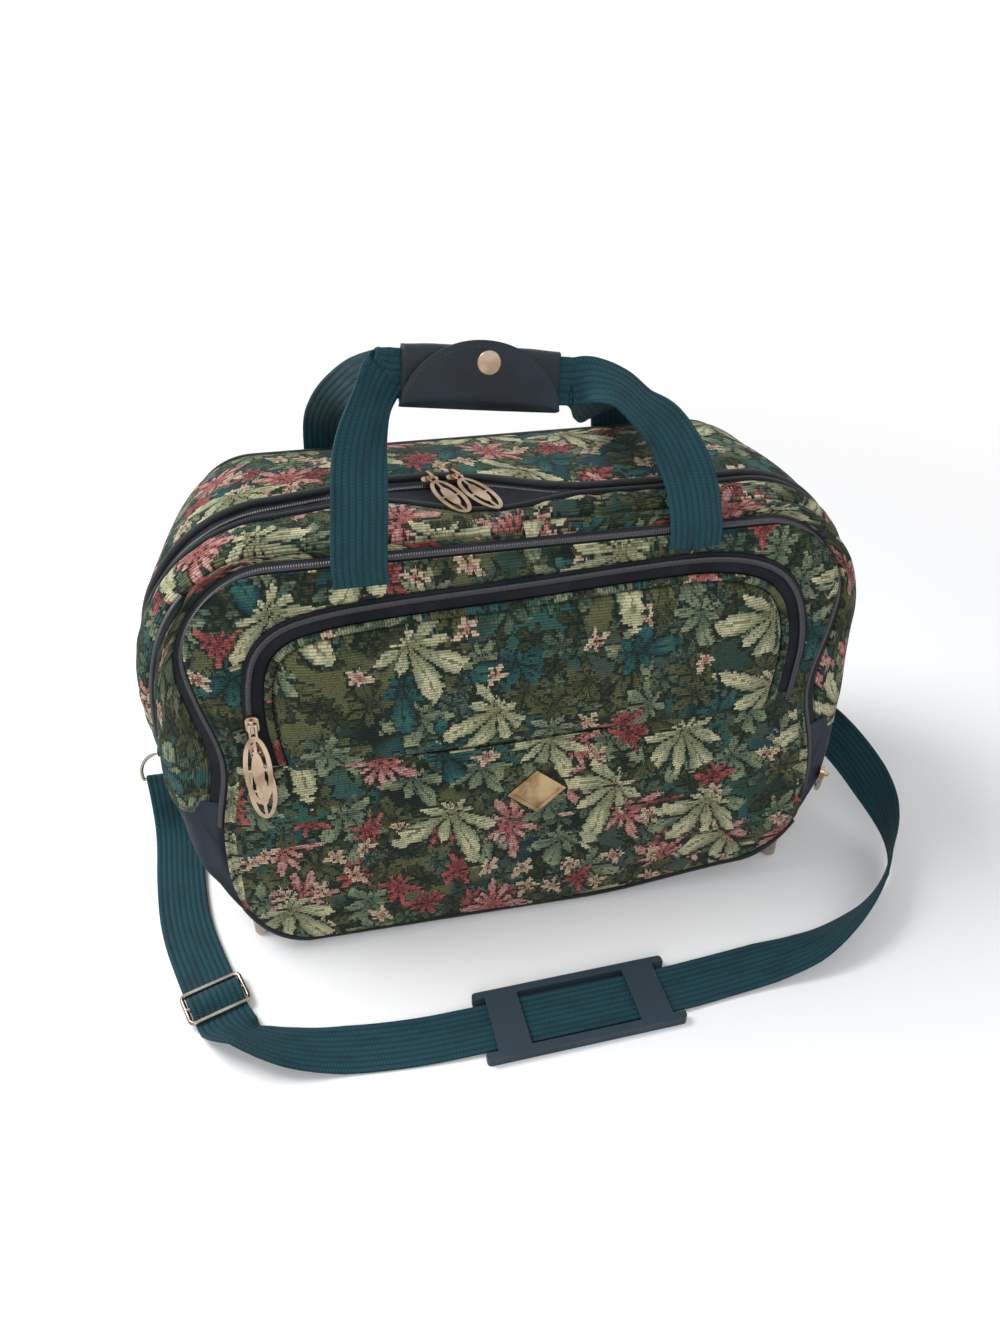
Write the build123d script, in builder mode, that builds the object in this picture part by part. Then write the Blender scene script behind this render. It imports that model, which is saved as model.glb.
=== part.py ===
from build123d import *
from math import atan, cos, degrees, pi, radians, sin, tan
import os

os.makedirs("parts", exist_ok=True)

# Soft travel bag of tapestry cloth, stuffed and zipped shut, standing on four stud feet.
# Millimetres, +X to the bag's right as seen from the front, +Y to its back, +Z up.
# The origin is on the floor under the middle of the bag.

# Body
FACE_HALF = 222.5
BAG_DEPTH = 236.0
FRONT_HEIGHT = 306.0
BACK_HEIGHT = 302.0
FRONT_LEAN = 34.0
FOOT_HEIGHT = 6.0
SIDE_BULGE = 46.5
TOP_CROWN = 17.4
EDGE_RADIUS = 43.0
SHOULDER_WIDE = 105.0
SHOULDER_HIGH = 130.0
BASE_HALF_FRONT = 167.0
BASE_HALF_MIDDLE = 196.0
LOWER_CORNER_FRONT = 62.0
LOWER_CORNER_MIDDLE = 185.0
BULGE_SKEW = 0.75
BULGE_FULLNESS = 0.62
STATIONS = (0.0, 0.03, 0.09, 0.19, 0.33, 0.5, 0.68, 0.84, 0.94, 1.0)
ROUND = 0.5523
CLEAR = 0.3
REACH = 420.0

# Seams and zips, as distances from front to back
PANEL_THICK = 6.0
FRONT_ZIP_WIDE = 11.0
SIDE_ZIP_PLACE = -46.0
SIDE_ZIP_WIDE = 12.0
SIDE_ZIP_END = 108.0
MAIN_ZIP_PLACE = 2.0
MAIN_ZIP_WIDE = 26.0
MAIN_ZIP_END = 100.0
FRONT_ZIP_LEFT_END = 138.0
FRONT_ZIP_RIGHT_END = 60.0
TAPE_RECESS = 1.5
TAPE_THICK = 2.3
COIL_WIDE = 5.0
COIL_RECESS = 0.2
PIPING_WIDE = 5.0
PIPING_PROUD = 1.6
GUSSET_TOP = 134.0
SIDE_PIPING_LOW = 30.0
GUSSET_THICK = 3.0
GUSSET_INNER_EDGE = 150.0

# Front pocket and lower panel, on the front face
POCKET_MIDDLE = 4.0
POCKET_HALF = 202.0
POCKET_TOP = 287.0
POCKET_CORNER = 38.0
POCKET_ZIP_WIDE = 13.0
POCKET_PIPING_WIDE = 7.0
POCKET_PIPING_PROUD = 4.0
POCKET_BULGE = 12.0
POCKET_TAPER = 38.0
HEM_HEIGHT = 168.0
LOWER_PANEL_THICK = 2.4
SEAM_HEIGHT = 100.0
SEAM_GROOVE = 1.0
PLATE_WIDE = 45.0
PLATE_HIGH = 38.0
PLATE_THICK = 1.8
PLATE_HEIGHT = 118.0
PLATE_SIDE = 4.0

# Base
BASE_SKIN = 2.0
BASE_PANEL_HALF = 150.0
BOARD_THICK = 3.0
BOARD_HALF = 160.0
BOARD_DEPTH = 170.0
BOARD_HEIGHT = 12.0
FOOT_SIDE = 212.0
FOOT_FRONT = -97.0
FOOT_BACK = 90.0
FOOT_RADIUS = 6.0
FOOT_RIM = 1.2
FOOT_CAP_PROUD = 2.0

# Webbing
WEB_WIDE = 38.0
HANDLE_THICK = 2.0
STRAP_THICK = 1.6

# Handle wrap
WRAP_LONG = 102.0
WRAP_HIGH = 43.0
WRAP_THICK = 12.6
WRAP_WALL = 2.2
WRAP_LEFT = (-72.0, -30.0, FRONT_HEIGHT + 107)
WRAP_RIGHT = (30.0, -30.0, FRONT_HEIGHT + 95)
WRAP_TILT = 10.0
FLAP_THICK = 1.8
FLAP_GAP = 1.8
FLAP_RISE = 47.0
SNAP_RADIUS = 7.6
SNAP_THICK = 1.6
SNAP_OFFSET = 10.5

# Rings, buckle and pad
RING_SIDE = 279.0
RING_PLACE = 30.0
RING_BAR_HEIGHT = 62.0
RING_WIRE = 3.0
RING_HALF = 22.0
RING_STRAIGHT = 6.0
TAB_WIDE = 10.0
TAB_THICK = 1.6
TAB_BORE = 5.2
TAB_REACH = 40.0
BUCKLE_LONG = 30.0
BUCKLE_WIDE = 43.0
BUCKLE_WIRE = 3.4
BUCKLE_HEIGHT = 7.0
BUCKLE_PLACE = (-246.0, -160.0)
BUCKLE_HEADING = -70.0
UNDER_BAR = -3.2
OVER_LOOP = 5.2
LOWER_LAYER = -5.3
PAD_LONG = 147.0
PAD_WIDE = 56.0
PAD_BASE = 2.2
PAD_RAIL = 6.0
PAD_HIGH = 7.6
PAD_BRIDGE = 24.0
PAD_END = 9.0
PAD_CORNER = 3.0
PAD_PLACE = (11.5, -219.0)
PAD_TURN = 2.3
PAD_STRAP_HEIGHT = 3.6

# Zip sliders and pulls
SLIDER_LONG = 12.0
SLIDER_WIDE = 9.0
SLIDER_THICK = 3.0
EYE_LONG = 11.0
EYE_HIGH = 4.4
EYE_THICK = 2.2
EYE_WINDOW = 6.8
EYE_GAP = 2.8
PIN_RADIUS = 1.0
ARM_WIDE = 1.4
ARM_LONG = 8.0
PULL_LONG = 48.0
PULL_WIDE = 19.0
PULL_THICK = 1.6
PULL_RIM = 3.2
PULL_HEART = 8.0
PULL_LEAN = 2.8

FRONT = -BAG_DEPTH / 2
BACK = BAG_DEPTH / 2
LEAN_SLOPE = FRONT_LEAN / FRONT_HEIGHT


# How far the bag swells at a share of the way from front to back, from 0 to 1
def swell(share):
    return max(sin(pi * share**BULGE_SKEW), 0.0) ** BULGE_FULLNESS


# Depth of the leaning front face at a height
def face_depth(height):
    return FRONT + LEAN_SLOPE * height


# Half width, top, shoulder size and lower corner of the section at a share of the way back
def section_sizes(share):
    full = swell(share)
    half = FACE_HALF + SIDE_BULGE * full
    top = FRONT_HEIGHT + (BACK_HEIGHT - FRONT_HEIGHT) * share + TOP_CROWN * full
    shoulder = EDGE_RADIUS + (SHOULDER_WIDE - EDGE_RADIUS) * full
    drop = EDGE_RADIUS + (SHOULDER_HIGH - EDGE_RADIUS) * full
    base = BASE_HALF_FRONT + (BASE_HALF_MIDDLE - BASE_HALF_FRONT) * full
    widest = LOWER_CORNER_FRONT + (LOWER_CORNER_MIDDLE - LOWER_CORNER_FRONT) * full
    return half, top, shoulder, drop, base, widest


# Share of the way back at which the bag's top stands at a depth
def share_at(depth, height):
    front = face_depth(height)
    return (depth - front) / (BACK - front)


# Outer half width of the body at a depth and a height below its widest line
def side_at(depth, height):
    half, top, shoulder, drop, base, widest = section_sizes(share_at(depth, height))
    if height >= widest:
        return half
    rise = 1 - (height - FOOT_HEIGHT) / (widest - FOOT_HEIGHT)
    return base + (half - base) * (1 - rise**2) ** 0.5


# Plane of the section at a share of the way back; it leans less and less towards the back
def station_plane(share, setback=0.0):
    slope = LEAN_SLOPE * (1 - share)
    origin = (0, FRONT + (BACK - FRONT) * share + setback, 0)
    return Plane(origin=origin, x_dir=(1, 0, 0), z_dir=(0, -1, slope))


# Closed outline of one section: flat base, round lower corners, sides, shoulders and top
def section_outline(share, inset):
    half, top, shoulder, drop, base, widest = section_sizes(share)
    half = half - inset
    top = top - inset
    floor = FOOT_HEIGHT + inset
    stretch = 1 / cos(atan(LEAN_SLOPE * (1 - share)))
    floor, top, widest, drop = (stretch * size for size in (floor, top, widest, drop))
    with BuildLine() as outline:
        Line((-base, floor), (base, floor))
        for side in (1, -1):
            Bezier(
                (side * base, floor),
                (side * (base + ROUND * (half - base)), floor),
                (side * half, widest - ROUND * (widest - floor)),
                (side * half, widest),
            )
            Line((side * half, widest), (side * half, top - drop))
            Bezier(
                (side * half, top - drop),
                (side * half, top - drop + ROUND * drop),
                (side * (half - shoulder + ROUND * shoulder), top),
                (side * (half - shoulder), top),
            )
        Line((half - shoulder, top), (-(half - shoulder), top))
    make_face(outline.edges())


# The stuffed body's form, each section made smaller by an inset
def pillow(inset):
    with BuildPart() as form:
        for share in STATIONS:
            with BuildSketch(station_plane(share)):
                section_outline(share, inset)
        loft()
    return form.part


# Keeps what lies inside a polygon of (depth, height) corners
def keep_between(corners):
    with BuildSketch(Plane.YZ, mode=Mode.PRIVATE) as region:
        Polygon(*corners, align=None)
    extrude(region.sketch, amount=REACH, both=True, mode=Mode.INTERSECT)


# Corners of an upright slab from one depth to another, above a height
def slab(near, far, low):
    return [(near, low), (far, low), (far, REACH), (near, REACH)]


# Corners of a slab that leans with the front face, from one depth behind it to another
def leaning_slab(near, far, low, high):
    return [
        (face_depth(low) + near, low),
        (face_depth(low) + far, low),
        (face_depth(high) + far, high),
        (face_depth(high) + near, high),
    ]


BELOW = -20.0
SIDE_SEAM_FOOT = face_depth(0) + PANEL_THICK + 1.5
SEAM_CORNER = (SIDE_ZIP_PLACE, SIDE_ZIP_END)

body = pillow(0)
tape_face = pillow(TAPE_RECESS)
tape_back = pillow(TAPE_RECESS + TAPE_THICK)
groove_floor = pillow(TAPE_RECESS + TAPE_THICK + CLEAR)
coil_face = pillow(COIL_RECESS)
coil_back = pillow(TAPE_RECESS - CLEAR / 2)
piping_face = pillow(-PIPING_PROUD)
gusset_back = pillow(GUSSET_THICK)
gusset_floor = pillow(GUSSET_THICK + CLEAR)
base_face = pillow(-BASE_SKIN)
outside = pillow(-CLEAR)

main_zip_slab = slab(
    MAIN_ZIP_PLACE - MAIN_ZIP_WIDE / 2, MAIN_ZIP_PLACE + MAIN_ZIP_WIDE / 2, MAIN_ZIP_END
)
side_zip_slab = slab(
    SIDE_ZIP_PLACE - SIDE_ZIP_WIDE / 2, SIDE_ZIP_PLACE + SIDE_ZIP_WIDE / 2, SIDE_ZIP_END
)
front_zip_slab = leaning_slab(
    PANEL_THICK, PANEL_THICK + FRONT_ZIP_WIDE, FRONT_ZIP_RIGHT_END, REACH
)
front_zip_missing = FRONT_ZIP_LEFT_END - FRONT_ZIP_RIGHT_END
gusset_corners = [
    (face_depth(0) + PANEL_THICK, 0),
    (SIDE_SEAM_FOOT, 0),
    SEAM_CORNER,
    (SIDE_ZIP_PLACE, GUSSET_TOP),
    (face_depth(GUSSET_TOP) + PANEL_THICK, GUSSET_TOP),
]


# Takes off the stretch of the front zip that the left side doesn't have
def trim_front_zip():
    with BuildSketch(Plane.XY.offset(FRONT_ZIP_RIGHT_END - 1), mode=Mode.PRIVATE) as left_side:
        with Locations((-REACH / 2, 0)):
            Rectangle(REACH, REACH)
    extrude(left_side.sketch, amount=front_zip_missing + 1, mode=Mode.SUBTRACT)


# Grooves that the zip tapes and the gussets lie in
with BuildPart() as main_groove:
    add(body)
    keep_between(main_zip_slab)
    add(groove_floor, mode=Mode.SUBTRACT)

with BuildPart() as side_groove:
    add(body)
    keep_between(side_zip_slab)
    add(groove_floor, mode=Mode.SUBTRACT)

with BuildPart() as front_groove:
    add(body)
    keep_between(front_zip_slab)
    add(groove_floor, mode=Mode.SUBTRACT)
    trim_front_zip()

with BuildPart() as gusset_groove:
    add(body)
    keep_between(gusset_corners)
    add(gusset_floor, mode=Mode.SUBTRACT)
    with BuildSketch(Plane.XY):
        Rectangle(2 * GUSSET_INNER_EDGE, REACH)
    extrude(amount=REACH, mode=Mode.SUBTRACT)

# Room for the base board
with BuildPart() as board_room:
    with BuildSketch(Plane.XY.offset(BOARD_HEIGHT - CLEAR)):
        Rectangle(2 * BOARD_HALF + 2 * CLEAR, BOARD_DEPTH + 2 * CLEAR)
    extrude(amount=BOARD_THICK + 2 * CLEAR)

# Tapestry compartments, from back to front
with BuildPart() as main_compartment:
    add(body)
    rear_edge = BACK - PANEL_THICK
    keep_between([(MAIN_ZIP_PLACE, BELOW), (rear_edge, BELOW), (rear_edge, REACH), (MAIN_ZIP_PLACE, REACH)])
    add(main_groove.part, mode=Mode.SUBTRACT)
    add(board_room.part, mode=Mode.SUBTRACT)
main_compartment.part.label = "main_compartment"

with BuildPart() as middle_section:
    add(body)
    keep_between(
        [
            (SIDE_SEAM_FOOT, BELOW),
            (MAIN_ZIP_PLACE, BELOW),
            (MAIN_ZIP_PLACE, REACH),
            (SIDE_ZIP_PLACE, REACH),
            SEAM_CORNER,
            (SIDE_SEAM_FOOT, 0),
        ]
    )
    add(main_groove.part, mode=Mode.SUBTRACT)
    add(side_groove.part, mode=Mode.SUBTRACT)
    add(board_room.part, mode=Mode.SUBTRACT)
middle_section.part.label = "middle_section"

with BuildPart() as front_compartment:
    add(body)
    keep_between(
        [
            (face_depth(0) + PANEL_THICK, 0),
            (SIDE_SEAM_FOOT, 0),
            SEAM_CORNER,
            (SIDE_ZIP_PLACE, REACH),
            (face_depth(REACH) + PANEL_THICK, REACH),
        ]
    )
    add(side_groove.part, mode=Mode.SUBTRACT)
    add(front_groove.part, mode=Mode.SUBTRACT)
    add(gusset_groove.part, mode=Mode.SUBTRACT)
    add(board_room.part, mode=Mode.SUBTRACT)
front_compartment.part.label = "front_compartment"

with BuildPart() as front_panel:
    add(body)
    keep_between(leaning_slab(-5, PANEL_THICK, BELOW, REACH))
front_panel.part.label = "front_panel"

with BuildPart() as back_panel:
    add(body)
    keep_between(
        [(BACK - PANEL_THICK, BELOW), (BACK + 5, BELOW), (BACK + 5, REACH), (BACK - PANEL_THICK, REACH)]
    )
back_panel.part.label = "back_panel"

# Nylon gussets low on the sides
gussets = {}
for name, side in (("left_gusset", -1), ("right_gusset", 1)):
    with BuildPart() as gusset:
        add(body)
        keep_between(gusset_corners)
        add(gusset_back, mode=Mode.SUBTRACT)
        add(front_groove.part, mode=Mode.SUBTRACT)
        add(side_groove.part, mode=Mode.SUBTRACT)
        with BuildSketch(Plane.XY):
            with Locations((side * (GUSSET_INNER_EDGE + REACH / 2), 0)):
                Rectangle(REACH, REACH)
        extrude(amount=REACH, mode=Mode.INTERSECT)
    gusset.part.label = name
    gussets[name] = gusset

# Zip tapes and coils
with BuildPart() as main_zip_tape:
    add(tape_face)
    keep_between(main_zip_slab)
    add(tape_back, mode=Mode.SUBTRACT)
main_zip_tape.part.label = "main_zip_tape"

with BuildPart() as main_zip_coil:
    add(coil_face)
    keep_between(slab(MAIN_ZIP_PLACE - COIL_WIDE / 2, MAIN_ZIP_PLACE + COIL_WIDE / 2, MAIN_ZIP_END))
    add(coil_back, mode=Mode.SUBTRACT)
main_zip_coil.part.label = "main_zip_coil"

with BuildPart() as side_zip_tape:
    add(tape_face)
    keep_between(side_zip_slab)
    add(tape_back, mode=Mode.SUBTRACT)
side_zip_tape.part.label = "side_zip_tape"

with BuildPart() as side_zip_coil:
    add(coil_face)
    keep_between(slab(SIDE_ZIP_PLACE - COIL_WIDE / 2, SIDE_ZIP_PLACE + COIL_WIDE / 2, SIDE_ZIP_END))
    add(coil_back, mode=Mode.SUBTRACT)
side_zip_coil.part.label = "side_zip_coil"

with BuildPart() as front_zip_tape:
    add(tape_face)
    keep_between(front_zip_slab)
    add(tape_back, mode=Mode.SUBTRACT)
    trim_front_zip()
front_zip_tape.part.label = "front_zip_tape"

FRONT_ZIP_PLACE = PANEL_THICK + FRONT_ZIP_WIDE / 2
with BuildPart() as front_zip_coil:
    add(coil_face)
    keep_between(
        leaning_slab(
            FRONT_ZIP_PLACE - COIL_WIDE / 2, FRONT_ZIP_PLACE + COIL_WIDE / 2, FRONT_ZIP_RIGHT_END, REACH
        )
    )
    add(coil_back, mode=Mode.SUBTRACT)
    trim_front_zip()
front_zip_coil.part.label = "front_zip_coil"

# Pipings, as proud bands along the seams
with BuildPart() as back_piping:
    add(piping_face)
    keep_between(
        [
            (BACK - PANEL_THICK - PIPING_WIDE / 2, BELOW),
            (BACK - PANEL_THICK + PIPING_WIDE / 2, BELOW),
            (BACK - PANEL_THICK + PIPING_WIDE / 2, REACH),
            (BACK - PANEL_THICK - PIPING_WIDE / 2, REACH),
        ]
    )
    add(body, mode=Mode.SUBTRACT)
back_piping.part.label = "back_piping"

with BuildPart() as front_piping:
    add(piping_face)
    keep_between(leaning_slab(1.5, 1.5 + PIPING_WIDE, BELOW, FRONT_ZIP_RIGHT_END))
    add(body, mode=Mode.SUBTRACT)
front_piping.part.label = "front_piping"

with BuildPart() as side_piping:
    add(piping_face)
    keep_between(
        [
            (SIDE_SEAM_FOOT + SIDE_PIPING_LOW * 0.6 - PIPING_WIDE, SIDE_PIPING_LOW),
            (SIDE_SEAM_FOOT + SIDE_PIPING_LOW * 0.6 + PIPING_WIDE / 2, SIDE_PIPING_LOW),
            (SIDE_ZIP_PLACE + PIPING_WIDE / 2, SIDE_ZIP_END),
            (SIDE_ZIP_PLACE - PIPING_WIDE, SIDE_ZIP_END),
        ]
    )
    add(body, mode=Mode.SUBTRACT)
side_piping.part.label = "side_piping"

# Base
with BuildPart() as base_panel:
    add(base_face)
    with BuildSketch(Plane.XY):
        Rectangle(2 * BASE_PANEL_HALF, BAG_DEPTH - 2 * (PANEL_THICK + PIPING_WIDE))
    extrude(amount=FOOT_HEIGHT + 1, mode=Mode.INTERSECT)
    add(body, mode=Mode.SUBTRACT)
base_panel.part.label = "base_panel"

with BuildPart() as base_board:
    with BuildSketch(Plane.XY.offset(BOARD_HEIGHT)):
        RectangleRounded(2 * BOARD_HALF, BOARD_DEPTH, 12)
    extrude(amount=BOARD_THICK)
base_board.part.label = "base_board"

foot_places = [
    (side * FOOT_SIDE, depth) for side in (-1, 1) for depth in (FOOT_FRONT, FOOT_BACK)
]
FOOT_ROOM = 60.0
with BuildPart() as foot_rims:
    with BuildSketch(Plane.XY.offset(FOOT_CAP_PROUD)):
        with Locations(*foot_places):
            Circle(FOOT_RADIUS)
    extrude(amount=FOOT_ROOM)
    add(outside, mode=Mode.SUBTRACT)
    with BuildSketch(Plane.XY.offset(FOOT_CAP_PROUD)):
        with Locations(*foot_places):
            Circle(FOOT_RADIUS - FOOT_RIM)
    extrude(amount=1.0, mode=Mode.SUBTRACT)
    with BuildSketch(Plane.XY.offset(FRONT_HEIGHT / 4)):
        Rectangle(REACH * 2, REACH)
    extrude(amount=FOOT_ROOM, mode=Mode.SUBTRACT)
foot_rims.part.label = "foot_rims"

with BuildPart() as foot_caps:
    with BuildSketch(Plane.XY):
        with Locations(*foot_places):
            Circle(FOOT_RADIUS - FOOT_RIM - CLEAR)
    extrude(amount=FOOT_CAP_PROUD + 1.0)
    fillet(foot_caps.edges().filter_by(GeomType.CIRCLE).group_by(Axis.Z)[0], FOOT_CAP_PROUD / 2)
foot_caps.part.label = "foot_caps"


# Front face layers, drawn on the leaning plane; heights are stretched along the slope
face = station_plane(0)
STRETCH = 1 / cos(atan(LEAN_SLOPE))


# Plane parallel to the front face, a little in front of it
def in_front(offset):
    return face.offset(offset)


# Outline with round upper corners, from below the hem to a top line
def pocket_outline(inset):
    low = STRETCH * (HEM_HEIGHT - 30)
    high = STRETCH * (POCKET_TOP - inset)
    half = POCKET_HALF - inset
    corner = POCKET_CORNER - inset
    left, right = POCKET_MIDDLE - half, POCKET_MIDDLE + half
    with BuildLine() as outline:
        Line((left, low), (right, low))
        Line((right, low), (right, high - corner))
        RadiusArc((right, high - corner), (right - corner, high), -corner)
        Line((right - corner, high), (left + corner, high))
        RadiusArc((left + corner, high), (left, high - corner), -corner)
        Line((left, high - corner), (left, low))
    make_face(outline.edges())


HEM_LEFT, HEM_LOW, HEM_RIGHT = (STRETCH * (HEM_HEIGHT + rise) for rise in (22, -5, 34))


# Area above or below the curved hem of the lower panel
def hem_area(far, mode):
    with BuildLine() as edge:
        ThreePointArc((-REACH, HEM_LEFT), (0, HEM_LOW), (REACH, HEM_RIGHT))
        Line((REACH, HEM_RIGHT), (REACH, far))
        Line((REACH, far), (-REACH, far))
        Line((-REACH, far), (-REACH, HEM_LEFT))
    make_face(edge.edges(), mode=mode)


# A band of the pocket's edge between two insets, cut off above the hem
def pocket_band(name, near, far, offset, thick):
    with BuildPart() as band:
        with BuildSketch(in_front(offset)):
            pocket_outline(near)
            with BuildSketch(mode=Mode.PRIVATE) as inner:
                pocket_outline(far)
            add(inner.sketch, mode=Mode.SUBTRACT)
            hem_area(-REACH, Mode.SUBTRACT)
        extrude(amount=thick)
    band.part.label = name
    return band


POCKET_TAPE_TOP = CLEAR + 1.6
COIL_NEAR = (POCKET_ZIP_WIDE - COIL_WIDE) / 2
CUSHION_INSET = POCKET_ZIP_WIDE + POCKET_PIPING_WIDE + CLEAR
pocket_zip_tape = pocket_band("pocket_zip_tape", 0, POCKET_ZIP_WIDE, CLEAR, 1.6)
coil_far, coil_offset = COIL_NEAR + COIL_WIDE, POCKET_TAPE_TOP + 0.15
pocket_zip_coil = pocket_band("pocket_zip_coil", COIL_NEAR, coil_far, coil_offset, 0.9)
piping_near, piping_far = POCKET_ZIP_WIDE + CLEAR / 2, CUSHION_INSET - CLEAR / 2
pocket_piping = pocket_band("pocket_piping", piping_near, piping_far, CLEAR, POCKET_PIPING_PROUD)

with BuildPart() as front_pocket:
    with BuildSketch(in_front(CLEAR)):
        pocket_outline(CUSHION_INSET)
        hem_area(-REACH, Mode.SUBTRACT)
    extrude(amount=POCKET_BULGE, taper=POCKET_TAPER)
front_pocket.part.label = "front_pocket"

with BuildPart() as lower_panel:
    with BuildSketch(in_front(CLEAR)):
        section_outline(0, PIPING_WIDE)
        with BuildSketch(mode=Mode.PRIVATE) as above_hem:
            hem_area(REACH * 1.5, Mode.ADD)
        add(above_hem.sketch.moved(Location((0, -2 * CLEAR))), mode=Mode.SUBTRACT)
    extrude(amount=LOWER_PANEL_THICK)
    with BuildSketch(in_front(CLEAR + LOWER_PANEL_THICK - SEAM_GROOVE)):
        with Locations((0, STRETCH * SEAM_HEIGHT)):
            Rectangle(2 * FACE_HALF - 20, SEAM_GROOVE)
    extrude(amount=REACH / 10, mode=Mode.SUBTRACT)
lower_panel.part.label = "lower_panel"


# Four-cornered outline standing on a point
def lozenge(half_wide, half_high):
    Polygon((-half_wide, 0), (0, -half_high), (half_wide, 0), (0, half_high))


with BuildPart() as lozenge_plate:
    plate_offset = 2 * CLEAR + LOWER_PANEL_THICK
    with BuildSketch(in_front(plate_offset)):
        with Locations((PLATE_SIDE, STRETCH * PLATE_HEIGHT)):
            lozenge(PLATE_WIDE / 2, PLATE_HIGH / 2)
    extrude(amount=PLATE_THICK)
    with BuildSketch(in_front(plate_offset + PLATE_THICK - 0.6)):
        with Locations((PLATE_SIDE, STRETCH * PLATE_HEIGHT)):
            lozenge(PLATE_WIDE / 2 - 5, PLATE_HIGH / 2 - 4.2)
    extrude(amount=1.0, mode=Mode.SUBTRACT)
lozenge_plate.part.label = "lozenge_plate"


# Length of the run between two points
def gap(first, second):
    return (Vector(*second) - Vector(*first)).length


# A flat band through points, each with the direction that its face looks in
def ribbon(name, points, facings, wide, thick, between):
    run = Spline(*points, mode=Mode.PRIVATE)
    marks = [run.param_at_point(point) for point in points]
    marks[0], marks[-1] = 0.0, 1.0
    with BuildPart() as band:
        for index in range(len(points) - 1):
            steps = between if index < len(points) - 2 else between + 1
            for step in range(steps):
                part_way = step / between
                mark = marks[index] + part_way * (marks[index + 1] - marks[index])
                facing = Vector(*facings[index]) * (1 - part_way) + Vector(*facings[index + 1]) * part_way
                ahead = run % mark
                across = facing.cross(ahead)
                with BuildSketch(Plane(origin=run @ mark, x_dir=across, z_dir=ahead)):
                    Rectangle(wide, thick)
        loft(ruled=True)
    band.part.label = name
    return band


# Handle wrap, round both handles, on a frame whose x runs along it and whose y runs up its face
wrap_middle = (Vector(*WRAP_LEFT) + Vector(*WRAP_RIGHT)) * 0.5
wrap_along = (Vector(*WRAP_RIGHT) - Vector(*WRAP_LEFT)).normalized()
wrap_out = Vector(0, -cos(radians(WRAP_TILT)), sin(radians(WRAP_TILT)))
wrap_up = wrap_out.cross(wrap_along).normalized()
wrap_out = wrap_along.cross(wrap_up)
wrap_plane = Plane(origin=wrap_middle, x_dir=wrap_along, z_dir=wrap_out)
wrap_end_plane = Plane(origin=wrap_middle - wrap_along * (WRAP_LONG / 2), x_dir=wrap_up, z_dir=wrap_along)
FLAP_FOOT = -WRAP_HIGH / 2
FLAP_FACE = WRAP_THICK / 2 + FLAP_GAP

with BuildPart() as handle_wrap:
    with BuildSketch(wrap_end_plane):
        RectangleRounded(WRAP_HIGH, WRAP_THICK, WRAP_THICK / 2 - 0.2)
        RectangleRounded(WRAP_HIGH - 2 * WRAP_WALL, WRAP_THICK - 2 * WRAP_WALL, 3, mode=Mode.SUBTRACT)
    extrude(amount=WRAP_LONG)
    with BuildSketch(wrap_plane.offset(FLAP_FACE)):
        with BuildLine():
            Line((-WRAP_LONG / 2, FLAP_FOOT), (WRAP_LONG / 2, FLAP_FOOT))
            Line((WRAP_LONG / 2, FLAP_FOOT), (WRAP_LONG / 2, FLAP_FOOT + 8))
            Bezier(
                (WRAP_LONG / 2, FLAP_FOOT + 8),
                (WRAP_LONG / 2 - 4, FLAP_FOOT + 0.72 * FLAP_RISE),
                (WRAP_LONG / 4, FLAP_FOOT + FLAP_RISE),
                (0, FLAP_FOOT + FLAP_RISE),
            )
            Bezier(
                (0, FLAP_FOOT + FLAP_RISE),
                (-WRAP_LONG / 4, FLAP_FOOT + FLAP_RISE),
                (-WRAP_LONG / 2 + 4, FLAP_FOOT + 0.72 * FLAP_RISE),
                (-WRAP_LONG / 2, FLAP_FOOT + 8),
            )
            Line((-WRAP_LONG / 2, FLAP_FOOT + 8), (-WRAP_LONG / 2, FLAP_FOOT))
        make_face()
    extrude(amount=FLAP_THICK)
    with BuildSketch(wrap_plane):
        with Locations((0, FLAP_FOOT + 0.8)):
            Rectangle(WRAP_LONG, 1.6)
    extrude(amount=FLAP_FACE + FLAP_THICK)
handle_wrap.part.label = "handle_wrap"

with BuildPart() as snap_cap:
    with BuildSketch(wrap_plane.offset(FLAP_FACE + FLAP_THICK + CLEAR)):
        with Locations((3, SNAP_OFFSET)):
            Circle(SNAP_RADIUS)
    extrude(amount=SNAP_THICK)
    chamfer(snap_cap.edges().filter_by(GeomType.CIRCLE).sort_by(Axis.Y)[0], 0.6)
snap_cap.part.label = "snap_cap"

with BuildPart() as snap_socket:
    with BuildSketch(wrap_plane.offset(WRAP_THICK / 2 + CLEAR)):
        with Locations((3, SNAP_OFFSET)):
            Circle(SNAP_RADIUS * 0.7)
    extrude(amount=FLAP_GAP - 2 * CLEAR)
snap_socket.part.label = "snap_socket"

# Handles: feet on the front and the back face, both bands side by side in the wrap
BAND_APART = HANDLE_THICK / 2 + 0.5
FOOT_OFF = HANDLE_THICK / 2 + CLEAR
front_left_end = Vector(*WRAP_LEFT) + wrap_out * BAND_APART
front_right_end = Vector(*WRAP_RIGHT) + wrap_out * BAND_APART
rear_left_end = Vector(*WRAP_LEFT) - wrap_out * BAND_APART
rear_right_end = Vector(*WRAP_RIGHT) - wrap_out * BAND_APART
wrap_facing = tuple(wrap_out)
third = (front_right_end - front_left_end) * (1 / 3)
straight_run = wrap_along * 9


# Middle of the webbing on the front face, at a side place and a rise above the face's top edge
def front_foot(side_place, rise):
    height = FRONT_HEIGHT + rise
    return (side_place, face_depth(height) - FOOT_OFF, height)


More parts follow.
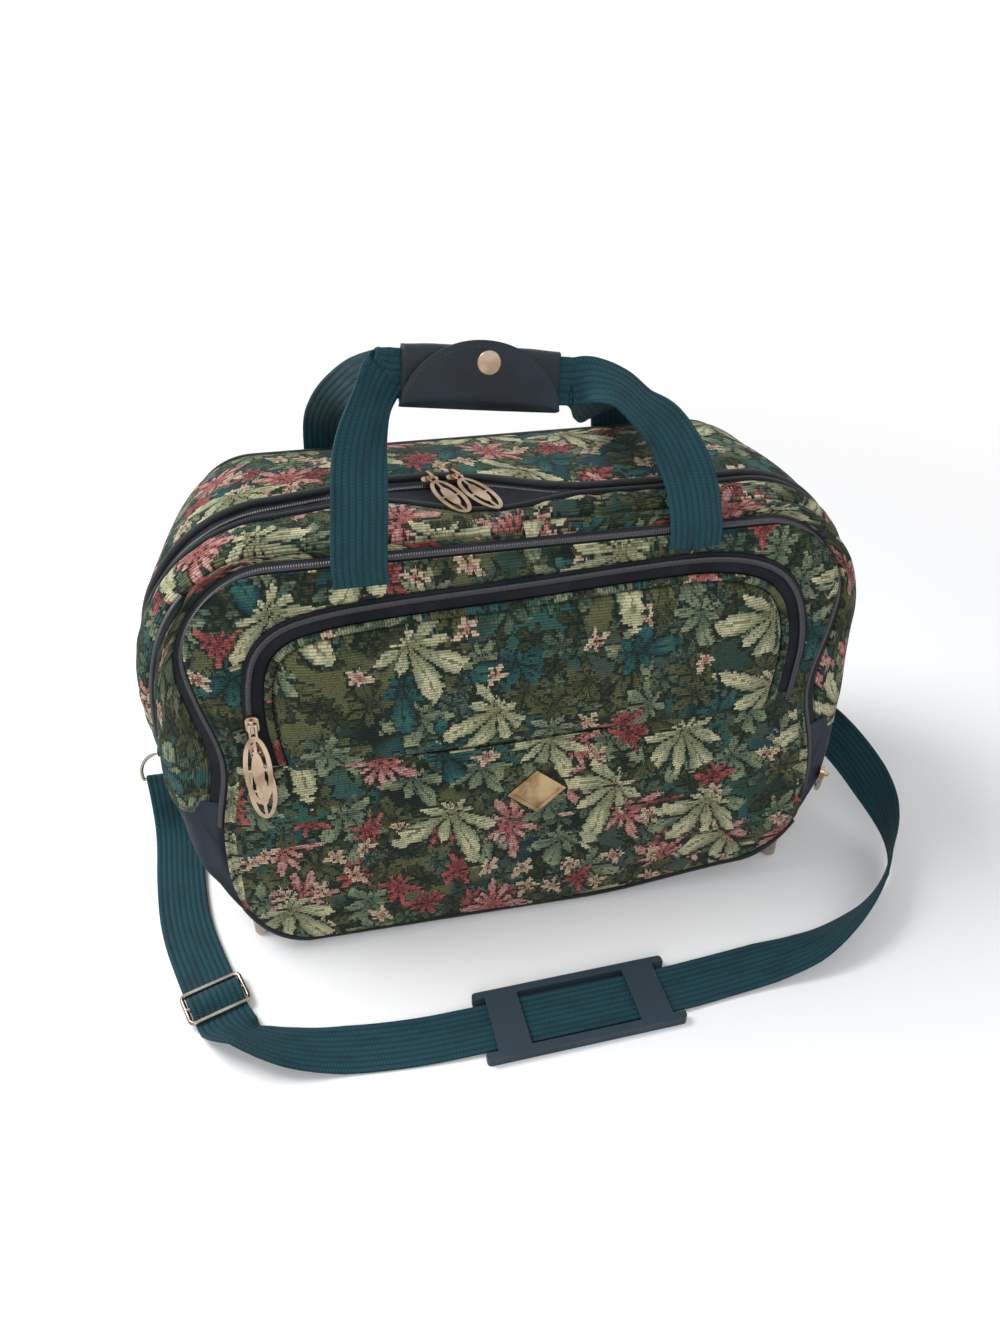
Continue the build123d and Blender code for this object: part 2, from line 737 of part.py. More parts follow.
front_handle = ribbon(
    "front_handle",
    [
        front_foot(-111, -9),
        front_foot(-111, 8),
        (-104, -66, FRONT_HEIGHT + 46),
        (-97, -47, FRONT_HEIGHT + 74),
        (-91, -38, FRONT_HEIGHT + 95),
        tuple(front_left_end - straight_run),
        tuple(front_left_end),
        tuple(front_left_end + third),
        tuple(front_right_end - third),
        tuple(front_right_end),
        tuple(front_right_end + straight_run),
        (60, -36, FRONT_HEIGHT + 95),
        (84, -44, FRONT_HEIGHT + 83),
        (106, -58, FRONT_HEIGHT + 60),
        (114, -74, FRONT_HEIGHT + 32),
        front_foot(115, 11),
        front_foot(115, -5),
    ],
    [
        (0, -1, 0.11), (0, -1, 0.11), (0, -0.9, 0.42), (-0.1, -0.88, 0.42), (-0.1, -0.9, 0.35),
        wrap_facing, wrap_facing, wrap_facing, wrap_facing, wrap_facing, wrap_facing,
        (0.1, -0.95, 0.2), (0.1, -0.9, 0.35), (0.1, -0.85, 0.45), (0, -0.9, 0.42),
        (0, -1, 0.11), (0, -1, 0.11),
    ],
    WEB_WIDE - 3, HANDLE_THICK, 4,
)

rear_handle = ribbon(
    "rear_handle",
    [
        (-119, BACK + FOOT_OFF, BACK_HEIGHT - 14),
        (-119, BACK + FOOT_OFF, BACK_HEIGHT + 4),
        (-117, 104, BACK_HEIGHT + 30),
        (-112, 70, BACK_HEIGHT + 54),
        (-104, 30, WRAP_LEFT[2] - 33),
        (-94, -4, WRAP_LEFT[2] - 12),
        tuple(rear_left_end - straight_run),
        tuple(rear_left_end),
        tuple(rear_left_end + third),
        tuple(rear_right_end - third),
        tuple(rear_right_end),
        tuple(rear_right_end + straight_run),
        (54, -8, WRAP_RIGHT[2] - 14),
        (68, 20, WRAP_RIGHT[2] - 33),
        (90, 58, BACK_HEIGHT + 42),
        (111, 102, BACK_HEIGHT + 26),
        (118, BACK + FOOT_OFF, BACK_HEIGHT + 4),
        (118, BACK + FOOT_OFF, BACK_HEIGHT - 14),
    ],
    [
        (0, -1, 0), (0, -1, -0.1), (-0.2, -0.8, -0.55), (-0.45, -0.6, -0.65),
        (-0.85, -0.4, -0.35), (-0.75, -0.65, 0),
        wrap_facing, wrap_facing, wrap_facing, wrap_facing, wrap_facing, wrap_facing,
        (0.6, -0.75, -0.2), (0.6, -0.65, -0.4), (0.3, -0.65, -0.7), (0, -0.6, -0.8), (0, -1, -0.1), (0, -1, 0),
    ],
    WEB_WIDE - 3, HANDLE_THICK, 4,
)

# Rings on tabs at both sides, as wire on a path
RING_CENTRE = RING_BAR_HEIGHT + RING_STRAIGHT
RING_TOP = RING_CENTRE + RING_HALF
rings = {}
tabs = {}


# Plane across a ring's bar at its middle
def bar_plane(side):
    return Plane(origin=(side * RING_SIDE, RING_PLACE, RING_BAR_HEIGHT), x_dir=(0, 1, 0), z_dir=(1, 0, 0))


for side_name, side in (("left", -1), ("right", 1)):
    ring_plane = Plane(origin=(side * RING_SIDE, RING_PLACE, 0), x_dir=(1, 0, 0), z_dir=(0, -1, 0))
    with BuildPart() as ring:
        with BuildLine(ring_plane):
            Line((0, RING_BAR_HEIGHT), (RING_HALF - 2, RING_BAR_HEIGHT))
            RadiusArc((RING_HALF - 2, RING_BAR_HEIGHT), (RING_HALF, RING_BAR_HEIGHT + 2), -2)
            Line((RING_HALF, RING_BAR_HEIGHT + 2), (RING_HALF, RING_CENTRE))
            RadiusArc((RING_HALF, RING_CENTRE), (0, RING_TOP), -RING_HALF)
            RadiusArc((0, RING_TOP), (-RING_HALF, RING_CENTRE), -RING_HALF)
            Line((-RING_HALF, RING_CENTRE), (-RING_HALF, RING_BAR_HEIGHT + 2))
            RadiusArc((-RING_HALF, RING_BAR_HEIGHT + 2), (-RING_HALF + 2, RING_BAR_HEIGHT), -2)
            Line((-RING_HALF + 2, RING_BAR_HEIGHT), (0, RING_BAR_HEIGHT))
        with BuildSketch(bar_plane(side)):
            Circle(RING_WIRE / 2)
        sweep()
    ring.part.label = f"{side_name}_ring"
    rings[side_name] = ring
    tab_plane = Plane(origin=(side * RING_SIDE, RING_PLACE, RING_TOP), x_dir=(0, 1, 0), z_dir=(1, 0, 0))
    tab_face = Plane(origin=(0, RING_PLACE + TAB_BORE / 2, RING_TOP), x_dir=(1, 0, 0), z_dir=(0, 1, 0))
    near, far = side * (RING_SIDE - 30), side * (RING_SIDE + TAB_WIDE / 2)
    with BuildPart() as tab:
        with BuildSketch(tab_plane.offset(-TAB_WIDE / 2)):
            Circle(TAB_BORE / 2 + TAB_THICK)
            Circle(TAB_BORE / 2, mode=Mode.SUBTRACT)
        extrude(amount=TAB_WIDE)
        with BuildSketch(tab_face):
            Polygon(
                (side * (RING_SIDE - TAB_WIDE / 2), 0),
                (far, 0),
                (far, -TAB_REACH / 2),
                (near, -TAB_REACH),
                (near, -TAB_REACH / 2),
                align=None,
            )
        extrude(amount=TAB_THICK)
        add(outside, mode=Mode.SUBTRACT)
    tab.part.label = f"{side_name}_ring_tab"
    tabs[side_name] = tab

# Shoulder strap: one band from the right ring over the floor, through the buckle to the left ring and back
heading = Vector(cos(radians(BUCKLE_HEADING)), sin(radians(BUCKLE_HEADING)), 0)
buckle_middle = Vector(*BUCKLE_PLACE, BUCKLE_HEIGHT)
FLOOR = 1.3
LAYER = BUCKLE_HEIGHT + UNDER_BAR


# Point of the strap at a distance along the buckle and above its plane
def by_buckle(along, above):
    return tuple(buckle_middle + heading * along + Vector(0, 0, above))


flat = (-heading.Y, heading.X, 0)
loop_off = RING_WIRE / 2 + CLEAR + STRAP_THICK / 2
strap_route = [
    ((RING_SIDE, RING_PLACE, RING_BAR_HEIGHT + loop_off), (1, 0, 0)),
    ((RING_SIDE + 3, RING_PLACE - 18, RING_BAR_HEIGHT + 1), (1, 0, 0.1)),
    ((300, -22, 57), (0.8, 0, 0.6)),
    ((312, -70, 43), (0.7, 0, 0.7)),
    ((312, -115, 31), (0.4, 0, 0.9)),
    ((294, -149, 24), (0.1, 0, 1)),
    ((262, -178, 21), (0, 0, 1)),
    ((226, -197, 20), (0.1, 0.3, 0.95)),
    ((196, -206, 13.5), (0.3, 0.8, 0.5)),
    ((160, -208, 3.5), (0.3, 0.95, 0.05)),
    ((108, -213, FLOOR + 1), (0.1, 1, 0)),
    ((PAD_PLACE[0] + PAD_LONG / 2, -216, PAD_STRAP_HEIGHT), (0.04, 1, 0)),
    ((PAD_PLACE[0] - PAD_LONG / 2, -222, PAD_STRAP_HEIGHT), (0.04, 1, 0)),
    ((-108, -222, FLOOR), (0, 1, 0)),
    ((-160, -218, FLOOR + 0.5), (-0.05, 1, 0)),
    ((-196, -213, 6), (0.1, 0.95, 0.2)),
    ((-228, -199, 12), (0.55, 0.6, 0.5)),
    (by_buckle(22, UNDER_BAR + 0.5), flat),
    (by_buckle(11.6, UNDER_BAR), flat),
    (by_buckle(3.5, OVER_LOOP), flat),
    (by_buckle(-3.5, OVER_LOOP), flat),
    (by_buckle(-11.6, UNDER_BAR), flat),
    (by_buckle(-22, UNDER_BAR), flat),
    ((-271, -87, LAYER), (0.93, 0.2, 0)),
    ((-278, -30, LAYER), (1, 0.1, 0)),
    ((-279, 4, 9), (1, 0, 0)),
    ((-279, RING_PLACE - loop_off - 5, 30), (1, 0, 0)),
    ((-279, RING_PLACE - loop_off, RING_BAR_HEIGHT), (1, 0, 0)),
]
lower_route = [
    (by_buckle(1, LOWER_LAYER + 2.5), flat),
    (by_buckle(-8, LOWER_LAYER), flat),
    (by_buckle(-22, LOWER_LAYER), flat),
    ((-271, -87, LAYER - STRAP_THICK - CLEAR), (0.93, 0.2, 0)),
    ((-278, -30, LAYER - STRAP_THICK - CLEAR), (1, 0.1, 0)),
    ((-279, 10, 9), (1, 0, 0)),
    ((-279, RING_PLACE + loop_off - 5, 30), (1, 0, 0)),
    ((-279, RING_PLACE + loop_off, RING_BAR_HEIGHT), (1, 0, 0)),
]
SHARPEST = 3.0


# Line through the route's points with a tangent arc at each
def rounded_line(points):
    bends = []
    for before, corner, after in zip(points, points[1:], points[2:]):
        coming, going = Vector(*corner) - Vector(*before), Vector(*after) - Vector(*corner)
        turn = max(radians(coming.get_angle(going)), 0.01)
        run = min(coming.length, going.length)
        bends.append(min(0.45 * run / tan(turn / 2), 900.0) if run > 12 else SHARPEST)
    print("strap bend radii", [round(bend, 1) for bend in bends])
    return FilletPolyline(*points, radius=bends, mode=Mode.PRIVATE)


# A band of webbing along a rounded line, its width in the directions given at the points
def webbing(route, spacing):
    points = [place for place, across in route]
    run = rounded_line(points)
    lengths = [0.0]
    for before, after in zip(points, points[1:]):
        lengths.append(lengths[-1] + gap(before, after))
    marks = [length / lengths[-1] for length in lengths]
    pieces = []
    for index in range(len(points) - 1):
        count = max(1, round(lengths[-1] * (marks[index + 1] - marks[index]) / spacing))
        with BuildPart() as band:
            for step in range(count + 1):
                part_way = step / count
                mark = marks[index] + part_way * (marks[index + 1] - marks[index])
                across = Vector(*route[index][1]) * (1 - part_way) + Vector(*route[index + 1][1]) * part_way
                ahead = run % min(mark, 1.0)
                across = across - ahead * across.dot(ahead)
                with BuildSketch(Plane(origin=run @ min(mark, 1.0), x_dir=across, z_dir=ahead)):
                    Rectangle(WEB_WIDE, STRAP_THICK)
            loft(ruled=True)
        pieces.append(band.part)
    return pieces


# Sleeve of webbing round a bar
def sleeve(plane, inner):
    with BuildPart() as loop:
        with BuildSketch(plane.offset(-WEB_WIDE / 2)):
            Circle(inner + STRAP_THICK)
            Circle(inner, mode=Mode.SUBTRACT)
        extrude(amount=WEB_WIDE)
    return loop.part


bar_bore = RING_WIRE / 2 + CLEAR
upper_run = webbing(strap_route, 12)
lower_run = webbing(lower_route, 12)
sleeves = [sleeve(bar_plane(side), bar_bore) for side in (-1, 1)]
sleeves.append(sleeve(Plane(origin=buckle_middle, x_dir=heading, z_dir=flat), BUCKLE_WIRE / 2 + CLEAR))
with BuildPart() as shoulder_strap:
    for piece in (*upper_run, *lower_run, *sleeves):
        add(piece)
shoulder_strap.part.label = "shoulder_strap"

with BuildPart() as strap_buckle:
    buckle_plane = Plane(origin=buckle_middle, x_dir=heading, z_dir=(0, 0, 1))
    reach, spread = (BUCKLE_LONG - BUCKLE_WIRE) / 2, BUCKLE_WIDE / 2
    bend = 4.0
    with BuildLine(buckle_plane):
        Line((0, spread), (reach - bend, spread))
        RadiusArc((reach - bend, spread), (reach, spread - bend), bend)
        Line((reach, spread - bend), (reach, -spread + bend))
        RadiusArc((reach, -spread + bend), (reach - bend, -spread), bend)
        Line((reach - bend, -spread), (-reach + bend, -spread))
        RadiusArc((-reach + bend, -spread), (-reach, -spread + bend), bend)
        Line((-reach, -spread + bend), (-reach, spread - bend))
        RadiusArc((-reach, spread - bend), (-reach + bend, spread), bend)
        Line((-reach + bend, spread), (0, spread))
    with BuildSketch(Plane(origin=buckle_middle + Vector(*flat) * spread, x_dir=flat, z_dir=heading)):
        Circle(BUCKLE_WIRE / 2)
    sweep()
    with BuildSketch(Plane(origin=buckle_middle - Vector(*flat) * spread, x_dir=heading, z_dir=flat)):
        Circle(BUCKLE_WIRE / 2)
    extrude(amount=2 * spread)
strap_buckle.part.label = "strap_buckle"

# Shoulder pad: base plate, rails that reach past it along both edges, and two bridges over the strap
pad_along = (cos(radians(PAD_TURN)), sin(radians(PAD_TURN)), 0)
pad_plane = Plane(origin=(*PAD_PLACE, 0), x_dir=pad_along, z_dir=(0, 0, 1))
with BuildPart() as shoulder_pad:
    with BuildSketch(pad_plane):
        RectangleRounded(PAD_LONG, PAD_WIDE, PAD_CORNER)
    extrude(amount=PAD_HIGH)
    with BuildSketch(pad_plane.offset(PAD_BASE)):
        Rectangle(PAD_LONG + 1, PAD_WIDE - 2 * PAD_RAIL)
    extrude(amount=PAD_HIGH - PAD_BASE - 1.8, mode=Mode.SUBTRACT)
    with BuildSketch(pad_plane.offset(PAD_BASE)):
        Rectangle(PAD_LONG - 2 * (PAD_BRIDGE + PAD_END), PAD_WIDE - 2 * PAD_RAIL)
    extrude(amount=PAD_HIGH, mode=Mode.SUBTRACT)
    with BuildSketch(pad_plane):
        with Locations((-PAD_LONG / 2, 0), (PAD_LONG / 2, 0)):
            Rectangle(2 * PAD_END, PAD_WIDE - 2 * PAD_RAIL)
    extrude(amount=PAD_HIGH, mode=Mode.SUBTRACT)
shoulder_pad.part.label = "shoulder_pad"


# Slider on a frame: x along the zip, z out of it; the pull lies along its own direction
def slider(name, origin, zip_dir, out, pull_dir, pull_tilt):
    body_plane = Plane(origin=origin, x_dir=zip_dir, z_dir=out)
    eye_plane = Plane(origin=origin, x_dir=pull_dir, z_dir=out)
    eye_side = Plane(origin=origin, x_dir=eye_plane.x_dir, z_dir=-eye_plane.y_dir)
    base = CLEAR + 0.3
    top = base + SLIDER_THICK
    with BuildPart() as runner:
        with BuildSketch(body_plane.offset(base)):
            RectangleRounded(SLIDER_LONG, SLIDER_WIDE, 3)
        extrude(amount=SLIDER_THICK)
        with BuildSketch(eye_side.offset(-EYE_THICK / 2)):
            with Locations((0, top + EYE_HIGH / 2)):
                RectangleRounded(EYE_LONG, EYE_HIGH, 1.6)
            with Locations((0, top + 1)):
                Rectangle(EYE_LONG, 2)
            with Locations((0, top + EYE_GAP / 2)):
                Rectangle(EYE_WINDOW, EYE_GAP, mode=Mode.SUBTRACT)
        extrude(amount=EYE_THICK)
    runner.part.label = f"{name}_slider"
    pin = eye_plane.origin + eye_plane.z_dir * (top + CLEAR + 0.1 + PIN_RADIUS)
    along = eye_plane.x_dir.rotate(Axis((0, 0, 0), tuple(eye_plane.y_dir)), -pull_tilt)
    lift = along.cross(eye_plane.y_dir)
    pull_plane = Plane(origin=pin, x_dir=along, z_dir=lift)
    half = EYE_THICK / 2 + 0.4
    with BuildPart() as pull:
        pin_end = pin - eye_plane.y_dir * (half + ARM_WIDE)
        with BuildSketch(Plane(origin=pin_end, x_dir=along, z_dir=eye_plane.y_dir)):
            Circle(PIN_RADIUS)
        extrude(amount=2 * (half + ARM_WIDE))
        with BuildSketch(pull_plane.offset(-PULL_THICK / 2)):
            with Locations((ARM_LONG / 2, half + ARM_WIDE / 2), (ARM_LONG / 2, -half - ARM_WIDE / 2)):
                Rectangle(ARM_LONG + 1, ARM_WIDE)
            with Locations((ARM_LONG - 1 + PULL_LONG / 2, 0)):
                Ellipse(PULL_LONG / 2, PULL_WIDE / 2)
                Ellipse(PULL_LONG / 2 - PULL_RIM, PULL_WIDE / 2 - PULL_RIM, mode=Mode.SUBTRACT)
                Ellipse(PULL_HEART * 1.6, PULL_HEART / 2)
                Rectangle(PULL_LONG - PULL_RIM, 2)
                Rectangle(2, PULL_WIDE - PULL_RIM)
        extrude(amount=PULL_THICK)
    pull.part.label = f"{name}_pull"
    print("pin", name, tuple(round(value, 1) for value in pin), tuple(round(v, 3) for v in eye_plane.y_dir))
    return runner, pull


# Point and outward direction of the body's right side at a depth and a height
def side_frame(depth, height):
    spot = (side_at(depth, height), depth, height)
    up = Vector(side_at(depth, height + 2) - spot[0], 0, 2).normalized()
    back = Vector(side_at(depth + 2, height) - spot[0], 2, 0).normalized()
    out = back.cross(up).normalized()
    return spot, up, out


# Height of the bag's top at a depth
def top_at(depth):
    return section_sizes(share_at(depth, BACK_HEIGHT))[1]


# The main zip's pulls lie forwards and lean towards the cloth by PULL_LEAN
top_height = top_at(MAIN_ZIP_PLACE)
top_slope = (top_at(MAIN_ZIP_PLACE + 2) - top_at(MAIN_ZIP_PLACE - 2)) / 4
top_out = (0, -top_slope, 1)
top_run = (top_at(MAIN_ZIP_PLACE - PULL_LONG) - top_height) / PULL_LONG
top_tilt = degrees(atan(top_run) + atan(top_slope)) - PULL_LEAN
down_face = (0, -LEAN_SLOPE, -1)
out_face = (0, -1, LEAN_SLOPE)
pocket_coil_top = in_front(POCKET_TAPE_TOP + 1.05)
POCKET_ZIP_SIDE = POCKET_MIDDLE - POCKET_HALF + POCKET_ZIP_WIDE / 2


# Point on top of the pocket zip's left leg at a height
def pocket_spot(height):
    return tuple(pocket_coil_top.from_local_coords(Vector(POCKET_ZIP_SIDE, STRETCH * height, 0)))


side_spot, side_up, side_out = side_frame(SIDE_ZIP_PLACE, 121)
front_depth = face_depth(85) + FRONT_ZIP_PLACE
front_spot, front_up, front_out = side_frame(front_depth, 85)
front_back = front_up.cross(front_out)


# Slider of the main zip at a side place; its pull lies forwards and a little to the right
def top_slider(name, side_place, sideways):
    origin = (side_place, MAIN_ZIP_PLACE, top_height)
    return slider(name, origin, (1, 0, 0), top_out, (sideways, -1, -top_slope), top_tilt)


hardware = [
    *top_slider("main_left", -52, 0.35),
    *top_slider("main_right", -34, 0.45),
    *slider("pocket_upper", pocket_spot(206), down_face, out_face, down_face, 16),
    *slider("pocket_lower", pocket_spot(185), down_face, out_face, down_face, 0),
    *slider("side_zip", side_spot, side_up, side_out, tuple(side_up * -1), 6),
    *slider("front_zip", front_spot, front_up, front_out, tuple(front_back - front_up), 3),
]

soft_parts = [main_compartment, middle_section, front_compartment, front_panel, back_panel, *gussets.values()]
zip_parts = [main_zip_tape, main_zip_coil, side_zip_tape, side_zip_coil, front_zip_tape, front_zip_coil]
trim_parts = [back_piping, front_piping, side_piping, base_panel, base_board, foot_rims, foot_caps]
front_parts = [pocket_zip_tape, pocket_zip_coil, pocket_piping, front_pocket, lower_panel, lozenge_plate]
handle_parts = [handle_wrap, snap_cap, snap_socket, front_handle, rear_handle]
strap_parts = [*rings.values(), *tabs.values(), shoulder_strap, strap_buckle, shoulder_pad]

for sub in (*soft_parts, *zip_parts, *trim_parts, *front_parts, *handle_parts, *strap_parts, *hardware):
    box = sub.part.bounding_box()
    corners = [round(value) for value in (*box.min, *box.max)]
    print(sub.part.label, len(sub.part.solids()), round(sub.part.volume), sub.part.is_valid, corners)
    export_step(sub.part, f"parts/{sub.part.label}.step")
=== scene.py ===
"""Looks of a stuffed tapestry travel bag with webbing handles and a loose shoulder strap.

Shapes are worked out in millimetres in the CAD frame (+X right, +Y back, +Z up) and stored in metres.
"""
import math

import bmesh
import bpy
import numpy as np
from mathutils import Matrix, Vector


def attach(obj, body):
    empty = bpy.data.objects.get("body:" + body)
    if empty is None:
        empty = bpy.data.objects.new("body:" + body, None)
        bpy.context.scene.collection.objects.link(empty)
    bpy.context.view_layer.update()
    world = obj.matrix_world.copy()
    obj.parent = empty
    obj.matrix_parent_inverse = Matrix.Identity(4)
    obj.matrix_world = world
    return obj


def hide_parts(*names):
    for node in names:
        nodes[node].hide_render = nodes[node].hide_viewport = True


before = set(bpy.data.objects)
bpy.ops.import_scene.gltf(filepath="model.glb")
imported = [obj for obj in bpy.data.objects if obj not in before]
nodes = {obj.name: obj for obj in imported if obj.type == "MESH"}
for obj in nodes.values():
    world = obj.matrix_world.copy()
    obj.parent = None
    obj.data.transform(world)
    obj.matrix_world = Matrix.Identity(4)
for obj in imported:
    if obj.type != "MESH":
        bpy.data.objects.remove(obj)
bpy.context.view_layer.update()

MM = 0.001

# Body sizes, as in the part's source
FACE_HALF, BAG_DEPTH, FRONT_HEIGHT, BACK_HEIGHT = 222.5, 236.0, 306.0, 302.0
FRONT_LEAN, FOOT_HEIGHT, SIDE_BULGE, TOP_CROWN = 34.0, 6.0, 46.5, 17.4
EDGE_RADIUS, SHOULDER_WIDE, SHOULDER_HIGH = 43.0, 105.0, 130.0
BASE_FRONT, BASE_MIDDLE, CORNER_FRONT, CORNER_MIDDLE = 167.0, 196.0, 62.0, 185.0
BULGE_SKEW, BULGE_FULLNESS, CORNER_RISE = 0.75, 0.62, 15.0
FRONT, BACK = -BAG_DEPTH / 2, BAG_DEPTH / 2
LEAN = FRONT_LEAN / FRONT_HEIGHT
STRETCH = math.hypot(1, LEAN)
FACE_OUT = np.array((0, -1, LEAN)) / STRETCH

# Start and length, round half a section, of its top, shoulder, side, lower corner and base
SECTION_PARTS = (0, 0.24), (0.24, 0.2), (0.44, 0.12), (0.56, 0.28), (0.84, 0.16)
BODY_INSIDE = 0.0, 0.0, 150.0
PANEL_MIDDLE = 152.0

# The front zip's distances behind the front face, and the side zip's depth, half width and lower ends
FRONT_ZIP_NEAR, FRONT_ZIP_COIL, FRONT_ZIP_BACK = 1.0, 3.6, 9.0
SIDE_ZIP_PLACE, SIDE_ZIP_HALF, SIDE_ZIP_END = -46.0, 6.0, 108.0

# Height of the main zip's ends, and where tapestry and gusset overlap on the sides: the gusset reaches its
# lap above the line and the tapestry its own below it. Under the base the gusset ends at a place round it.
MAIN_ZIP_END, GUSSET_TOP, GUSSET_LAP, CLOTH_LAP, GUSSET_UNDER = 100.0, 130.0, 8.0, 2.0, 0.95

# Walls of the soft pieces, and a stitch's length, gap and thickness
CLOTH_THICK, NYLON_THICK, TAPE_THICK = 1.2, 1.0, 1.0
WEB_WIDE, STRAP_THICK, HANDLE_THICK, LOOP_THICK = 38.0, 1.7, 2.0, 1.5
STITCH = 2.4, 1.4, 0.6


def smooth(low, high, value):
    """0 below low, 1 above high and the cubic 3t^2 - 2t^3 between them."""
    t = np.clip((value - low) / (high - low), 0, 1)
    return t * t * (3 - 2 * t)


def hump(middle, spread, value):
    """Bell exp(-((value - middle) / spread)^2)."""
    return np.exp(-(((value - middle) / spread) ** 2))


def ripple(u, v, seed, size):
    """Mean of five sine waves, of 0.7 to 1.6 waves to a size, in directions and phases drawn from a seed."""
    draw = np.random.default_rng(seed)
    turns, phases, stretches = (draw.uniform(*ends, 5) for ends in ((0, np.pi), (0, 6.28), (0.7, 1.6)))
    total = 0
    for turn, phase, stretch in zip(turns, phases, stretches):
        total = total + np.sin((u * np.cos(turn) + v * np.sin(turn)) * 6.28 * stretch / size + phase)
    return total / 5


def face_depth(height):
    """Depth of the leaning front face at a height."""
    return FRONT + LEAN * height


def corner_rise(x):
    """Height by which the right bottom corner is drawn up, growing towards the side."""
    return CORNER_RISE * smooth(40, 190, x)


def girth(share):
    """Sizes of the body's section at a share: half width, top, shoulder's width and height, half base and
    lower corner's height. All of them swell towards the middle, the half width more slowly at the face."""
    swell = np.maximum(np.sin(np.pi * np.clip(share, 0, 1) ** BULGE_SKEW), 0) ** BULGE_FULLNESS
    half = FACE_HALF + SIDE_BULGE * swell * (0.42 + 0.58 * smooth(0, 0.085, share))
    top = FRONT_HEIGHT + (BACK_HEIGHT - FRONT_HEIGHT) * share + TOP_CROWN * swell
    wide = EDGE_RADIUS + (SHOULDER_WIDE - EDGE_RADIUS) * swell
    high = EDGE_RADIUS + (SHOULDER_HIGH - EDGE_RADIUS) * swell
    base = BASE_FRONT + (BASE_MIDDLE - BASE_FRONT) * swell
    low = CORNER_FRONT + (CORNER_MIDDLE - CORNER_FRONT) * swell
    return half, top, wide, high, base, low


def section(share, around):
    """Point of the stuffed body: share goes from the front face (0) to the back (1); around goes from
    0 at the top's middle to +1 or -1 at the base's middle, down the right or the left side. Each half is
    a top line, an elliptical shoulder, a straight side, an elliptical lower corner and a base line."""
    share, around = np.broadcast_arrays(share, around)
    half, top, wide, high, base, low = girth(share)
    a = np.abs(around)
    t1, t2, t3, t4, t5 = (np.clip((a - start) / size, 0, 1) for start, size in SECTION_PARTS)
    turn, under = t2 * np.pi / 2, t4 * np.pi / 2
    x = (half - wide) * t1 + wide * np.sin(turn) - (half - base) * (1 - np.cos(under)) - base * t5
    z = top - high * (1 - np.cos(turn)) - (top - high - low) * t3 - (low - FOOT_HEIGHT) * np.sin(under)
    waist = 1 - 0.055 * hump(172, 42, z) * (1 - smooth(0, 0.16, share))
    waist = waist + 0.012 * hump(262, 30, z) * (1 - smooth(0, 0.1, share))
    y = face_depth(z) + (BACK - face_depth(z)) * share
    x = np.sign(around) * x * waist
    z = z + corner_rise(x) * (1 - smooth(10, 75, z)) * (1 - smooth(0.02, 0.2, share))
    return np.stack((x, y, z), -1)


def down_to(share, height):
    """Place round the section at which its right side passes a height, from its shoulder's arc, its
    straight side and its lower corner's arc."""
    _, top, _, high, _, low = girth(share)
    _, shoulder, side, corner, _ = SECTION_PARTS
    over = np.arccos(np.clip(1 - (top - height) / high, -1, 1))
    under = np.arcsin(np.clip((low - height) / (low - FOOT_HEIGHT), -1, 1))
    over, under = shoulder[0] + shoulder[1] * over / (np.pi / 2), corner[0] + corner[1] * under / (np.pi / 2)
    down = side[0] + side[1] * (top - high - height) / (top - high - low)
    return np.where(height > top - high, over, np.where(height > low, down, under))


def share_at(depth, around):
    """Share at which the body has a depth (a number or a function of x and z), found in eight rounds."""
    share = np.full_like(around, 0.5)
    for _ in range(8):
        point = section(share, around)
        wanted = depth(point[..., 0], point[..., 2]) if callable(depth) else depth
        front = face_depth(point[..., 2])
        share = np.clip((wanted - front) / (BACK - front), 0, 1)
    return share


# Widths across the bag, and at each of them the depths of the main zip's rear edge, teeth and near edge
MAIN_PLACES = (-262, -240, -212, -167, -124, -84, -52, -37, -11, 10, 30, 45, 100, 170, 240)
MAIN_REAR = (-2, -6, -8, -6, 4, 14, 14, 12, 2, -10, -19, -24, -26, -25, -22)
MAIN_COIL = (-10, -14, -17, -14, -3, 2, 2, 1, -5, -15, -24, -28, -30, -29, -26)
# The near edge lies far in front of the teeth: past a real tape's half, the dark tape is a dark sheet for the
# painted shade of the slack hollow before the teeth.
MAIN_NEAR = (-22, -27, -31, -30, -22, -20, -34, -42, -45, -42, -36, -33, -35, -34, -31)
MAIN_FLAT = 14.0, 2.0, -10.0
MAIN_BLUR = 12


def main_line(depths, flat):
    """Depth of one line of the main zip: its depths, blurred by a bell, where it wanders over the slack
    top, and one flat depth down the sides."""
    wide = np.linspace(-270, 270, 541)
    raw = np.interp(wide, MAIN_PLACES, depths)
    reach = 3 * MAIN_BLUR
    kernel = hump(0, MAIN_BLUR, np.arange(-reach, reach + 1))
    soft = np.convolve(np.pad(raw, reach, mode="edge"), kernel / kernel.sum(), "valid")
    return lambda x, z: flat + (np.interp(x, wide, soft) - flat) * smooth(190, 285, z)


main_rear, main_seam, main_near = map(main_line, (MAIN_REAR, MAIN_COIL, MAIN_NEAR), MAIN_FLAT)


def side_seam(x, z):
    """Depth of the side zip, which the slack cloth draws forwards higher up, less so on the right, and
    below its end of the seam that runs down towards the front edge."""
    upper = SIDE_ZIP_PLACE - np.where(x < 0, 22, 12) * smooth(125, 250, z)
    return np.where(z > SIDE_ZIP_END, upper, SIDE_ZIP_PLACE + (z - SIDE_ZIP_END) * 0.6)


def behind(distance):
    """Depth function of a line that keeps a distance behind the leaning front face."""
    return lambda x, z: face_depth(z) + distance


def outward(points):
    """Unit normals of a grid of points, turned away from the point inside the body."""
    across = np.cross(np.gradient(points, axis=0), np.gradient(points, axis=1))
    across /= np.maximum(np.linalg.norm(across, axis=-1, keepdims=True), 1e-9)
    away = np.sum(across * (points - np.array(BODY_INSIDE)), -1, keepdims=True)
    return across * np.sign(away.mean())


